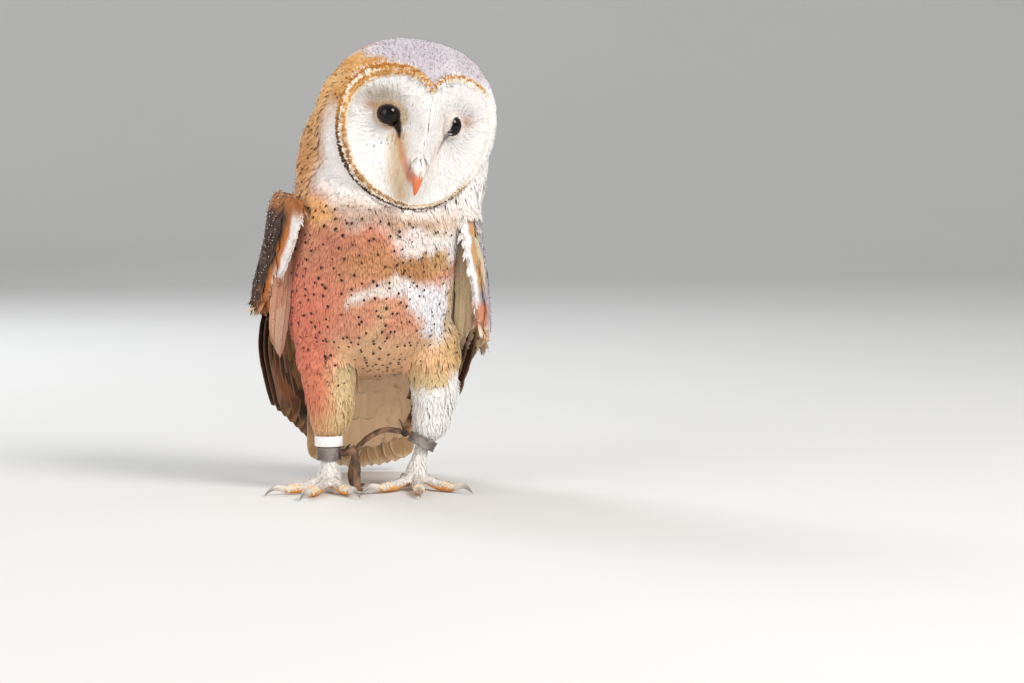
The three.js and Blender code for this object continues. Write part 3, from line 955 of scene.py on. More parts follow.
@dataclass(frozen=True)
class QuillFinish:
    """Firm flight feathers with dark bars, pale edges and a horn-coloured shaft."""

    name: str
    bar: str
    edge: str
    bars: float
    bar_strength: float = 0.85
    shaft: str = "b98f5f"
    barbs: float = 90.0

    def material(self) -> Material:
        """Bars across the vane, dark flecks between them, barbs that slant to the edge.

        Returns:
            The material.
        """
        nodes = Nodes(self.name)
        across, along = nodes.vane()
        aside = nodes.aside(across)
        slant = nodes.slant(along, aside, 0.16)
        ragged = nodes.noise(420.0, 4.0)
        band = nodes.stripes(nodes.math("MULTIPLY_ADD", ragged, 0.08, slant), self.bars)
        bars = nodes.times(nodes.ramp(band, 0.1, 0.75), self.bar_strength)
        flecks = nodes.times(nodes.ramp(nodes.noise(1500.0, 2.0), 0.56, 0.68), 0.55)
        rim = nodes.math("MAXIMUM", nodes.ramp(aside, 0.4, 0.49), nodes.ramp(along, 0.94, 0.985))
        line = nodes.stripes(nodes.slant(along, aside, 0.35), self.barbs)
        colour = nodes.mix(nodes.math("MAXIMUM", bars, flecks), nodes.tint(), self.bar)
        colour = nodes.mix(nodes.times(rim, 0.8), colour, self.edge)
        colour = nodes.mix(nodes.ramp(aside, 0.035, 0.02), colour, self.shaft)
        colour = nodes.mix(nodes.times(nodes.ramp(line, 0.2, 1.0), 0.14), colour, "3a2a20")
        nodes.bump(nodes.math("MULTIPLY_ADD", line, 0.5, ragged), 0.00012)
        return nodes.surface(colour, 0.6, Sheen_Weight=0.06, Specular_IOR_Level=0.35)


@dataclass(frozen=True)
class HornFinish:
    """Bill and claws: smooth horn, darker at the tip."""

    name: str
    base: str
    tip: str
    streak: float = 900.0

    def material(self) -> Material:
        """Growth lines, a colour painted from root to tip, and a soft gloss.

        Returns:
            The material.
        """
        nodes = Nodes(self.name)
        grain = nodes.noise(self.streak, 5.0)
        colour = nodes.mix(nodes.tint(), self.base, self.tip)
        colour = nodes.mix(nodes.times(nodes.ramp(grain, 0.45, 0.75), 0.3), colour, "6e5a4c")
        nodes.bump(grain, 0.00005)
        rough = nodes.math("MULTIPLY_ADD", grain, 0.2, 0.22)
        return nodes.surface(colour, rough, Specular_IOR_Level=0.5, Coat_Weight=0.15, Coat_Roughness=0.2)


@dataclass(frozen=True)
class EyeFinish:
    """A wet near-black eye whose dark brown iris barely shows."""

    name: str
    centre: tuple[float, float, float]
    gaze: tuple[float, float, float]
    pupil: float = 3.6 * MM
    iris: float = 6.2 * MM

    def material(self) -> Material:
        """Rings about the gaze: pupil, iris with faint spokes, and the dark rim.

        Returns:
            The material.
        """
        nodes = Nodes(self.name)
        steps = (("SUBTRACT", self.centre), ("CROSS_PRODUCT", self.gaze), ("LENGTH", None))
        radius = nodes.place()
        for operation, other in steps:
            node = nodes.add("ShaderNodeVectorMath", operation=operation)
            nodes.link(radius, node.inputs[0])
            if other:
                node.inputs[1].default_value = other
            radius = node.outputs["Value" if operation == "LENGTH" else "Vector"]
        iris = nodes.mix(nodes.noise(1600.0, 3.0), "120a06", "20130c")
        colour = nodes.mix(nodes.ramp(radius, self.pupil, self.pupil * 1.12), "030202", iris)
        colour = nodes.mix(nodes.ramp(radius, self.iris, self.iris * 1.08), colour, "0a0605")
        return nodes.surface(
            colour,
            0.06,
            IOR=1.38,
            Specular_IOR_Level=0.2,
            Coat_Weight=0.3,
            Coat_Roughness=0.02,
        )


@dataclass(frozen=True)
class LidFinish:
    """The lids: nearly black at the opening, pinkish cream where the feathers begin."""

    name: str
    pale_low: str
    pale_high: str

    def material(self) -> Material:
        """Finely wrinkled skin with a moist dark edge.

        Returns:
            The material.
        """
        nodes = Nodes(self.name)
        wrinkles = nodes.noise(1800.0, 4.0)
        dark = nodes.mix(nodes.ramp(wrinkles, 0.35, 0.7), "120b08", "2c1c16")
        pale = nodes.mix(nodes.ramp(wrinkles, 0.35, 0.7), self.pale_low, self.pale_high)
        nodes.bump(wrinkles, 0.00015)
        colour = nodes.mix(nodes.tint(), dark, pale)
        return nodes.surface(colour, 0.42, Specular_IOR_Level=0.45)


@dataclass(frozen=True)
class LeatherFinish:
    """Worn leather with grain, creases and paler worn patches."""

    name: str
    dark: str
    light: str

    def material(self) -> Material:
        """Grain cells, broad wear and scuffs.

        Returns:
            The material.
        """
        nodes = Nodes(self.name)
        grain = nodes.ramp(nodes.cells(1500.0, feature="DISTANCE_TO_EDGE"), 0.0, 0.25)
        wear = nodes.noise(160.0, 5.0)
        colour = nodes.mix(nodes.ramp(wear, 0.35, 0.68), self.dark, self.light)
        colour = nodes.mix(nodes.times(nodes.math("SUBTRACT", 1.0, grain), 0.35), colour, "241b17")
        nodes.bump(nodes.math("MULTIPLY_ADD", wear, 0.8, grain), 0.00018)
        return nodes.surface(colour, nodes.math("MULTIPLY_ADD", wear, 0.25, 0.5), Specular_IOR_Level=0.4)


@dataclass(frozen=True)
class RingFinish:
    """Plain white plastic, lightly scuffed."""

    name: str = "ring_white"

    def material(self) -> Material:
        """Dull scuffs and a trace of dirt.

        Returns:
            The material.
        """
        nodes = Nodes(self.name)
        scuffs = nodes.noise(500.0, 6.0)
        colour = nodes.mix(nodes.times(nodes.ramp(scuffs, 0.52, 0.75), 0.35), "f2f1ef", "a89f96")
        nodes.bump(scuffs, 0.00004)
        return nodes.surface(colour, nodes.math("MULTIPLY_ADD", scuffs, 0.3, 0.28), Specular_IOR_Level=0.5)


@dataclass(frozen=True)
class StudioFinish:
    """The pale matt floor."""

    name: str = "studio_floor"

    def material(self) -> Material:
        """An even pale grey."""
        nodes = Nodes(self.name)
        return nodes.surface(nodes.mix(nodes.noise(3.0), "d6d5d3", "dad9d7"), 0.9, Specular_IOR_Level=0.1)


# ---- modelling moves ----


class Bench:
    """The modelling moves that the shaped pieces share."""

    @staticmethod
    def clear() -> None:
        """Leaves edit mode and deselects everything."""
        if bpy.context.object and bpy.context.object.mode != "OBJECT":
            bpy.ops.object.mode_set(mode="OBJECT")
        bpy.ops.object.select_all(action="DESELECT")

    @staticmethod
    def hold(obj: Object) -> None:
        """Makes an object the only one selected, and the active one.

        Args:
            obj: The object.
        """
        Bench.clear()
        obj.select_set(True)
        bpy.context.view_layer.objects.active = obj

    @staticmethod
    def modify(obj: Object, kind: str, **settings: object) -> None:
        """Adds a modifier and applies it.

        Args:
            obj: The object.
            kind: The modifier's type.
            **settings: The modifier's properties.
        """
        Bench.hold(obj)
        modifier = obj.modifiers.new(kind.title(), kind)
        for key, value in settings.items():
            setattr(modifier, key, value)
        bpy.ops.object.modifier_apply(modifier=modifier.name)

    @staticmethod
    def smooth(obj: Object) -> None:
        """Shades an object smooth."""
        Bench.hold(obj)
        bpy.ops.object.shade_smooth()

    @staticmethod
    def mend(obj: Object) -> None:
        """Merges doubles and turns every face outward.

        Args:
            obj: The object.
        """
        Bench.hold(obj)
        bpy.ops.object.mode_set(mode="EDIT")
        bpy.ops.mesh.select_all(action="SELECT")
        bpy.ops.mesh.remove_doubles(threshold=1e-6)
        bpy.ops.mesh.normals_make_consistent(inside=False)
        bpy.ops.object.mode_set(mode="OBJECT")

    @staticmethod
    def settle(obj: Object, name: str, matrix: Matrix | None = None) -> Object:
        """Puts an object's place into its mesh and names it.

        Args:
            obj: The object.
            name: Its new name.
            matrix: A further move, laid on last.

        Returns:
            The same object, at the origin.
        """
        Bench.hold(obj)
        bpy.ops.object.transform_apply(location=True, rotation=True, scale=True)
        if matrix is not None:
            obj.data.transform(matrix)
        obj.name = name
        obj.data.name = name
        return obj

    @staticmethod
    def join(objects: Sequence[Object], name: str) -> Object:
        """Joins objects into one.

        Args:
            objects: The objects.
            name: The whole's name.

        Returns:
            The whole.
        """
        Bench.hold(objects[0])
        for obj in objects:
            obj.select_set(True)
        bpy.ops.object.join()
        joined = bpy.context.object
        joined.name = name
        joined.data.name = name
        return joined

    @staticmethod
    def twin(obj: Object, name: str, matrix: Matrix) -> Object:
        """A moved copy with a mesh of its own.

        Args:
            obj: The object.
            name: The copy's name.
            matrix: The move.

        Returns:
            The copy.
        """
        copy = obj.copy()
        copy.data = obj.data.copy()
        copy.data.transform(matrix)
        copy.name = name
        bpy.context.scene.collection.objects.link(copy)
        return copy

    @staticmethod
    def coordinates(obj: Object, kind: str = "co") -> Array:
        """An object's vertices, or their normals by the name normal, N by 3.

        Args:
            obj: The object.
            kind: The name of what to read: co or normal.

        Returns:
            Vertices or normals, N by 3.
        """
        flat = np.empty(len(obj.data.vertices) * 3)
        obj.data.vertices.foreach_get(kind, flat)
        return flat.reshape(-1, 3)

    @staticmethod
    def reshape(obj: Object, points: Array) -> None:
        """Moves an object's vertices."""
        obj.data.vertices.foreach_set("co", points.ravel())
        obj.data.update()

    @staticmethod
    def paint(obj: Object, colours: Array) -> None:
        """Writes a colour or a grey level for every vertex.

        Args:
            obj: The object.
            colours: The row's own colours.
        """
        rgb = np.repeat(colours[:, None], 3, axis=1) if colours.ndim == 1 else colours
        layer = obj.data.color_attributes.new(TINT, "FLOAT_COLOR", "POINT")
        layer.data.foreach_set("color", np.column_stack([rgb, np.ones(len(rgb))]).ravel())

    @staticmethod
    def dress(obj: Object, material: Material) -> None:
        """Gives an object its one material."""
        obj.data.materials.clear()
        obj.data.materials.append(material)


@dataclass(frozen=True)
class Station:
    """One section of a swept form: its centre, its half sizes and how far it leans about X."""

    centre: tuple[float, float, float]
    half: tuple[float, float]
    lean: float = 0.0

    def matrix(self) -> Matrix:
        """Carries a flat circle of radius 1, in XY, to the section.

        Returns:
            The matrix.
        """
        turn = Matrix.Rotation(math.radians(self.lean), 4, "X")
        size = Matrix.Diagonal((self.half[0] * MM, self.half[1] * MM, MM, 1.0))
        return Matrix.Translation(Vector(self.centre) * MM) @ turn @ size


def swept(name: str, stations: Sequence[Station], sides: int) -> Object:
    """Extrudes a circle from section to section and rounds the result.

    Args:
        name: The object's name.
        stations: The sections, from root to tip.
        sides: Corners of the circle.

    Returns:
        A closed form.
    """
    Bench.clear()
    bpy.ops.mesh.primitive_circle_add(vertices=sides, radius=1.0, fill_type="NGON")
    obj = bpy.context.object
    bpy.ops.object.mode_set(mode="EDIT")
    here = Matrix.Identity(4)
    for i, station in enumerate(stations):
        if i:
            bpy.ops.mesh.extrude_region_move()
        there = station.matrix()
        move = there @ here.inverted()
        mesh = bmesh.from_edit_mesh(obj.data)
        for vertex in mesh.verts:
            if vertex.select:
                vertex.co = move @ vertex.co
        bmesh.update_edit_mesh(obj.data)
        here = there
    bpy.ops.object.mode_set(mode="OBJECT")
    Bench.mend(obj)
    Bench.modify(obj, "SUBSURF", levels=2, render_levels=2)
    Bench.smooth(obj)
    return Bench.settle(obj, name)


def put(obj: Object, material: Material, slot: str, *nodes: str) -> Object:
    """Dresses a finished piece and hangs it on the frame.

    Args:
        obj: The piece.
        material: Its material.
        slot: A slot's name; not used.
        *nodes: The CAD nodes that it stands for.

    Returns:
        The piece.
    """
    Bench.dress(obj, material)
    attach(obj, BODY)
    if nodes:
        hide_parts(*nodes)
    log.info("%s: %d faces", obj.name, len(obj.data.polygons))
    return obj


# ---- studio ----


@dataclass
class Studio:
    """Camera, floor and light. Sizes are in metres, the lens in millimetres."""

    places: Places
    azimuth: float = -12.0
    elevation: float = 4.0
    lens: float = 100.0
    distance: float = 1.792
    aim_height: float = 0.150
    aim_aside: float = 0.0882
    aim_below: float = 0.0558
    floor_half: float = 12.0
    floor_front: float = -6.0
    floor_back: float = 2.6
    floor_rise: float = 5.0
    bend: float = 1.6
    bend_steps: int = 8

    def build(self) -> None:
        """Sets the studio up."""
        self.camera()
        self.floor()
        self.lights()

    def camera(self) -> None:
        """The camera looks past the owl's left side, so that the owl stands left of centre."""
        a, e = math.radians(self.azimuth), math.radians(self.elevation)
        back = Vector((math.sin(a) * math.cos(e), -math.cos(a) * math.cos(e), math.sin(e)))
        right = Vector((math.cos(a), math.sin(a), 0.0))
        up = back.cross(right)
        aim = Vector((self.places.shift[0], self.places.shift[1], self.aim_height))
        aim += right * self.aim_aside - up * self.aim_below
        camera = bpy.data.objects.new("camera", bpy.data.cameras.new("camera"))
        bpy.context.scene.collection.objects.link(camera)
        camera.data.lens = self.lens
        camera.data.sensor_width = 36.0
        camera.data.clip_start = 0.05
        camera.data.clip_end = 50.0
        camera.location = aim + back * self.distance
        camera.rotation_euler = (-back).to_track_quat("-Z", "Y").to_euler()
        bpy.context.scene.camera = camera

    def floor(self) -> None:
        """A pale sheet that curves up behind the owl."""
        Bench.clear()
        bpy.ops.mesh.primitive_plane_add(size=1.0)
        sheet = bpy.context.object
        corners = [(x, y, 0.0) for y in (self.floor_front, self.floor_back)
                   for x in (-self.floor_half, self.floor_half)]
        Bench.reshape(sheet, np.array(corners))
        bpy.ops.object.mode_set(mode="EDIT")
        bpy.ops.mesh.select_all(action="DESELECT")
        mesh = bmesh.from_edit_mesh(sheet.data)
        for edge in mesh.edges:
            edge.select = all(vertex.co.y > 0 for vertex in edge.verts)
        mesh.select_flush_mode()
        bmesh.update_edit_mesh(sheet.data)
        step = math.radians(90 / self.bend_steps)
        for i in range(self.bend_steps):
            run = self.bend * (math.sin((i + 1) * step) - math.sin(i * step))
            rise = self.bend * (math.cos(i * step) - math.cos((i + 1) * step))
            bpy.ops.mesh.extrude_region_move(TRANSFORM_OT_translate={"value": (0, run, rise)})
        bpy.ops.mesh.extrude_region_move(TRANSFORM_OT_translate={"value": (0, 0, self.floor_rise)})
        bpy.ops.object.mode_set(mode="OBJECT")
        Bench.smooth(sheet)
        Bench.settle(sheet, "studio_sheet")
        Bench.dress(sheet, StudioFinish().material())

    def lights(self) -> None:
        """A broad key from the owl's left front, a soft fill, a rim light and a pale sky."""
        self.area("key_light", (1.1, -1.5, 1.5), 1.0, 40.0, (1.0, 0.97, 0.935))
        self.area("fill_light", (-1.6, -1.2, 0.8), 1.6, 17.0, (1.0, 0.94, 0.9))
        self.area("rim_light", (-0.8, 1.5, 1.3), 0.9, 20.0, (0.93, 0.97, 1.0))
        world = bpy.data.worlds.new("studio_sky")
        bpy.context.scene.world = world
        world.use_nodes = True
        sky = world.node_tree.nodes["Background"]
        sky.inputs["Color"].default_value = (0.95, 0.97, 1.0, 1.0)
        sky.inputs["Strength"].default_value = 0.56
        bpy.context.scene.view_settings.view_transform = "Standard"

    @staticmethod
    def area(
        name: str, place: tuple[float, float, float], size: float, power: float,
        colour: tuple[float, float, float],
    ) -> None:
        """Adds an area light that looks at the owl's breast.

        Args:
            name: Its name.
            place: Where it hangs, in metres.
            size: The disc's width, in metres.
            power: Its power, in watts.
            colour: Its colour.
        """
        lamp = bpy.data.lights.new(name, "AREA")
        lamp.shape = "DISK"
        lamp.size = size
        lamp.energy = power
        lamp.color = colour
        obj = bpy.data.objects.new(name, lamp)
        obj.location = place
        breast = Vector((0.0, 0.0, 0.15))
        obj.rotation_euler = (breast - Vector(place)).to_track_quat("-Z", "Y").to_euler()
        bpy.context.scene.collection.objects.link(obj)


# ---- straps ----


@dataclass
class Strap:
    """A flat leather strap that hangs from an anklet's knot to the floor."""

    places: Places
    side: Side
    route: Sequence[tuple[float, float, float]]
    width: float = 5.0
    thickness: float = 1.2
    twist: float = 50.0
    rings: int = 72

    def line(self) -> Array:
        """Close points along the smooth route, in metres.

        Returns:
            The points, one for each ring.
        """
        corners = np.array([self.places.point(*p) for p in self.route])
        ends = np.concatenate([[2 * corners[0] - corners[1]], corners, [2 * corners[-1] - corners[-2]]])
        steps = np.linspace(0, 1, 24, endpoint=False)[:, None]
        runs = [curved(*ends[i : i + 4], steps) for i in range(len(corners) - 1)]
        points = np.concatenate([*runs, corners[-1:]])
        run = np.concatenate([[0], np.cumsum(np.linalg.norm(np.diff(points, axis=0), axis=1))])
        at = np.linspace(0, run[-1], self.rings)
        return np.stack([np.interp(at, run, points[:, k]) for k in range(3)], axis=1)

    def build(self) -> None:
        line = self.line()
        ways = unit(np.gradient(line, axis=0))
        side = unit(np.cross(ways[-1], [0, 0, 1.0]))
        sides = np.empty_like(line)
        for i in range(len(line) - 1, -1, -1):
            side = unit(side - ways[i] * (side @ ways[i]))
            sides[i] = side
        turned = np.radians(self.twist) * ease(0.8, 0.45, np.linspace(0, 1, len(line)))[:, None]
        sides = sides * np.cos(turned) + np.cross(ways, sides) * np.sin(turned)
        faces_up = np.cross(sides, ways)
        half, thick = self.width / 2 * MM, self.thickness / 2 * MM
        top = [(-0.9, 0.8), (-0.4, 1), (0.4, 1), (0.9, 0.8)]
        section = [(-1, 0), *top, (1, 0), *((across, -up) for across, up in top[::-1])]
        share = np.linspace(0, 1, len(line))
        taper = np.where(share > 0.9, 1 - 4.5 * (share - 0.9), 1.0)
        wave = 1 + 0.04 * np.sin(share * 31) + 0.03 * np.sin(share * 67)
        rows = []
        for across, up in section:
            reach = (across * half * wave * taper)[:, None]
            rows.append(line + sides * reach + faces_up * up * thick)
        points = np.stack(rows, axis=1).reshape(-1, 3)
        around = len(section)
        faces = []
        for i in range(len(line) - 1):
            for k in range(around):
                a, b = i * around + k, i * around + (k + 1) % around
                faces.append((a, b, b + around, a + around))
        faces.append(tuple(range(around))[::-1])
        faces.append(tuple((len(line) - 1) * around + k for k in range(around)))
        mesh = bpy.data.meshes.new(f"strap_{self.side.word}")
        mesh.from_pydata([tuple(p) for p in points], [], faces)
        strap = bpy.data.objects.new(f"strap_{self.side.word}", mesh)
        bpy.context.scene.collection.objects.link(strap)
        Bench.mend(strap)
        Bench.smooth(strap)
        finish = LeatherFinish(f"strap_leather_{self.side.word}", "5a4130", "a37c5e")
        put(strap, finish.material(), "strap_leather", f"jess_{self.side.word}")


STRAP_ROUTES = {
    Side.LEFT: (
        (16.5, -9.5, 37.5), (12, -9.5, 38.5), (6, -9, 38.8), (-1.5, -8, 35.6), (-8, -6.5, 30.5),
        (-12, -4.5, 24), (-13.5, -2, 16.5), (-13.5, 2, 8.5), (-11.5, 6.5, 3), (-8, 12, 1.2),
        (-3, 20, 1.2),
    ),
    Side.RIGHT: (
        (-17.2, -7, 25.2), (-14.6, -8.8, 25.4), (-12.4, -10.4, 22.4), (-11.8, -11.6, 16.5),
        (-12.2, -12.6, 10), (-12.4, -14, 5.4), (-11.6, -17, 2.8), (-9.6, -22, 2.1),
    ),
}


# ---- skin ----

TOE_NAMES = ("outer", "middle", "inner", "hind")
FLESH: dict[str, Part] = {
    "head": Part.CROWN,
    "neck": Part.NECK,
    "trunk": Part.TRUNK,
    **{f"thigh_{s.word}": Part.THIGH for s in Side},
    **{f"tarsus_{s.word}": Part.SHANK for s in Side},
    **{f"toe_{s.word}_{t}": Part.TOE for s in Side for t in TOE_NAMES},
    **{f"wing_{s.word}_coverts": Part.WING for s in Side},
}
COAT_DEPTH: dict[Part, float] = {
    Part.DISC: 1.6,
    Part.CROWN: 3.0,
    Part.NECK: 4.2,
    Part.TRUNK: 4.5,
    Part.THIGH: 3.2,
    Part.SHANK: 1.0,
    Part.TOE: 0.6,
    Part.WING: 2.2,
}


class Ground:
    """A surface that feathers grow on and lie over.

    Roots are thrown at it many times over, and one stays in each cube of a grid.
    """

    throws: int = 7
    grid_share: float = 0.93
    grid_shift: float = 0.37
    grid_keys: tuple[int, int, int] = (4000037, 2003, 1)
    points: Array
    normals: Array
    corners: Array
    tree: BVHTree

    def take(self, objects: Sequence[Object]) -> None:
        """Reads objects into arrays and one search tree.

        Args:
            objects: The objects that make up the surface.
        """
        points, normals, corners = [], [], []
        for obj in objects:
            mesh = obj.data
            start = sum(len(p) for p in points)
            points.append(Bench.coordinates(obj))
            normals.append(Bench.coordinates(obj, "normal"))
            mesh.calc_loop_triangles()
            index = np.empty(len(mesh.loop_triangles) * 3, int)
            mesh.loop_triangles.foreach_get("vertices", index)
            corners.append(index.reshape(-1, 3) + start)
        self.points = np.concatenate(points)
        self.normals = np.concatenate(normals)
        self.corners = np.concatenate(corners)
        self.tree = BVHTree.FromPolygons(self.points.tolist(), self.corners.tolist())

    def nearest(self, points: Array) -> tuple[Array, Array, Array]:
        """The surface's closest place to each point.

        Args:
            points: Points in the row frame.

        Returns:
            The places, the smooth normals there, and the distances.
        """
        found = [self.tree.find_nearest(Vector(p)) for p in points]
        index = np.array([f[2] for f in found])
        normals = unit(self.normals[self.corners[index]].sum(axis=1))
        return np.array([f[0] for f in found]), normals, np.array([f[3] for f in found])

    def scatter(self, chosen: Array, spacing: float, rng: np.random.Generator) -> tuple[Array, Array]:
        """Spreads roots evenly over part of the surface.

        Args:
            chosen: A mask over the surface's vertices.
            spacing: The roots' distance, in millimetres.
            rng: The source of chance.

        Returns:
            The roots, and the surface's normals there.
        """
        corners = self.corners[chosen[self.corners].all(axis=1)]
        a, b, c = (self.points[corners[:, k]] for k in range(3))
        area = np.linalg.norm(np.cross(b - a, c - a), axis=1) / 2
        cell = spacing * MM
        count = int(self.throws * area.sum() / cell**2)
        pick = rng.choice(len(corners), count, p=area / area.sum())
        u, v = rng.random((2, count))
        flip = u + v > 1
        u, v = np.where(flip, 1 - u, u), np.where(flip, 1 - v, v)
        weight = np.stack([1 - u - v, u, v], axis=1)[:, :, None]
        points = (self.points[corners[pick]] * weight).sum(axis=1)
        normals = unit((self.normals[corners[pick]] * weight).sum(axis=1))
        grid = np.floor(points / (cell * self.grid_share) + self.grid_shift).astype(np.int64)
        _, first = np.unique(grid @ self.grid_keys, return_index=True)
        kept = np.sort(first)
        return points[kept], normals[kept]


@dataclass
class Skin(Ground):
    """The one skin under the coat, inside the solids by the coat's depth."""

    places: Places
    disc: Disc
    voxel: float = 1.35 * MM
    face_front: float = -16.0
    chin_front: float = -30.0
    chin_share: float = 0.985
    under_wing_from: float = -0.15
    parts: Array = field(init=False)
    inner: Array = field(init=False)
    obj: Object = field(init=False)

    def build(self, markings: Markings) -> None:
        """Joins the flesh, closes its seams, draws it in and paints it.

        Args:
            markings: The owl's colours.
        """
        self.obj = self.fused()
        self.sort_parts()
        self.draw_in()
        self.read()
        colours = markings.tint(self.points, self.parts)
        colours[self.inner] = markings.under_wing(self.points[self.inner])
        Bench.paint(self.obj, colours)
        Bench.smooth(self.obj)
        put(self.obj, SkinFinish().material(), "breast_feathers", *FLESH)

    def fused(self) -> Object:
        """Copies the solids of flesh, with the eyes to fill their sockets, into one closed form.

        Returns:
            The closed form.
        """
        Bench.clear()
        copies = []
        for node in (*FLESH, "eye_left", "eye_right"):
            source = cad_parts[node]
            copy = bpy.data.objects.new(f"copy_{node}", source.data.copy())
            bpy.context.scene.collection.objects.link(copy)
            copies.append(copy)
        skin = Bench.join(copies, "owl_skin")
        Bench.mend(skin)
        Bench.modify(skin, "REMESH", mode="VOXEL", voxel_size=self.voxel, adaptivity=0.0)
        group = skin.vertex_groups.new(name="soft")
        height = Bench.coordinates(skin)[:, 2] / MM
        for level, low, high in ((0.35, -1, 14), (0.6, 14, 34), (1.0, 34, 999)):
            chosen = np.nonzero((height >= low) & (height < high))[0]
            group.add(chosen.tolist(), level, "REPLACE")
        Bench.modify(skin, "SMOOTH", factor=0.5, iterations=14, vertex_group="soft")
        skin.vertex_groups.clear()
        return skin

    def sort_parts(self) -> None:
        """Finds which part of the body each vertex belongs to."""
        points, faces, owner = [], [], []
        for node, part in FLESH.items():
            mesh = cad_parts[node].data
            mesh.calc_loop_triangles()
            start = len(points)
            points += [v.co for v in mesh.vertices]
            faces += [tuple(start + k for k in t.vertices) for t in mesh.loop_triangles]
            owner += [part] * len(mesh.loop_triangles)
        tree = BVHTree.FromPolygons(points, faces)
        here = Bench.coordinates(self.obj)
        self.parts = np.array([owner[tree.find_nearest(Vector(p))[2]] for p in here])
        heads = self.places.in_head(here)
        share, _ = self.disc.reach(heads)
        facing = (heads[:, 1] < self.face_front) & (share < 1.0)
        chin = (self.parts == Part.NECK) & facing & (heads[:, 1] < self.chin_front)
        chin &= share < self.chin_share
        self.parts[(self.parts == Part.CROWN) & facing] = Part.DISC
        self.parts[chin] = Part.DISC

    def draw_in(self) -> None:
        """Moves the surface inward by the depth of the coat."""
        here = Bench.coordinates(self.obj)
        depth = np.array([COAT_DEPTH[Part(p)] for p in range(len(Part))])[self.parts]
        edges = np.empty(len(self.obj.data.edges) * 2, int)
        self.obj.data.edges.foreach_get("vertices", edges)
        edges = edges.reshape(-1, 2)
        count = np.bincount(edges.ravel(), minlength=len(here))
        for _ in range(6):
            total = np.bincount(edges[:, 0], depth[edges[:, 1]], len(here))
            total += np.bincount(edges[:, 1], depth[edges[:, 0]], len(here))
            depth = 0.5 * depth + 0.5 * total / np.maximum(count, 1)
        Bench.reshape(self.obj, here - Bench.coordinates(self.obj, "normal") * depth[:, None] * MM)
        Bench.modify(self.obj, "SMOOTH", factor=0.5, iterations=2)

    def read(self) -> None:
        """Reads the finished surface, and finds the wings' inner faces."""
        self.take([self.obj])
        at = self.places.local(self.points)
        outward = self.normals[:, 0] * np.sign(at[:, 0]) + 0.5 * self.normals[:, 1]
        self.inner = (self.parts == Part.WING) & (outward < self.under_wing_from)


# ---- plumage ----


@dataclass(frozen=True)
class Tuft:
    """The shape of one kind of feather or tuft, in millimetres.

    A tuft is a fan of pointed lobes that overlap side by side, so that it reads as one soft
    feather with a frayed tip. Lift is its height over the skin at root, middle and tip.
    """

    length: float
    width: float
    lobes: int = 5
    lift: tuple[float, float, float] = (0.2, 2.6, 4.2)
    thickness: float = 0.14
    camber: float = 0.5
    fray: float = 0.14
    rounding: float = 0.3
    base: float = 0.5
    steps: int = 3
    wander: float = 7.0
    swell: float = 1.5


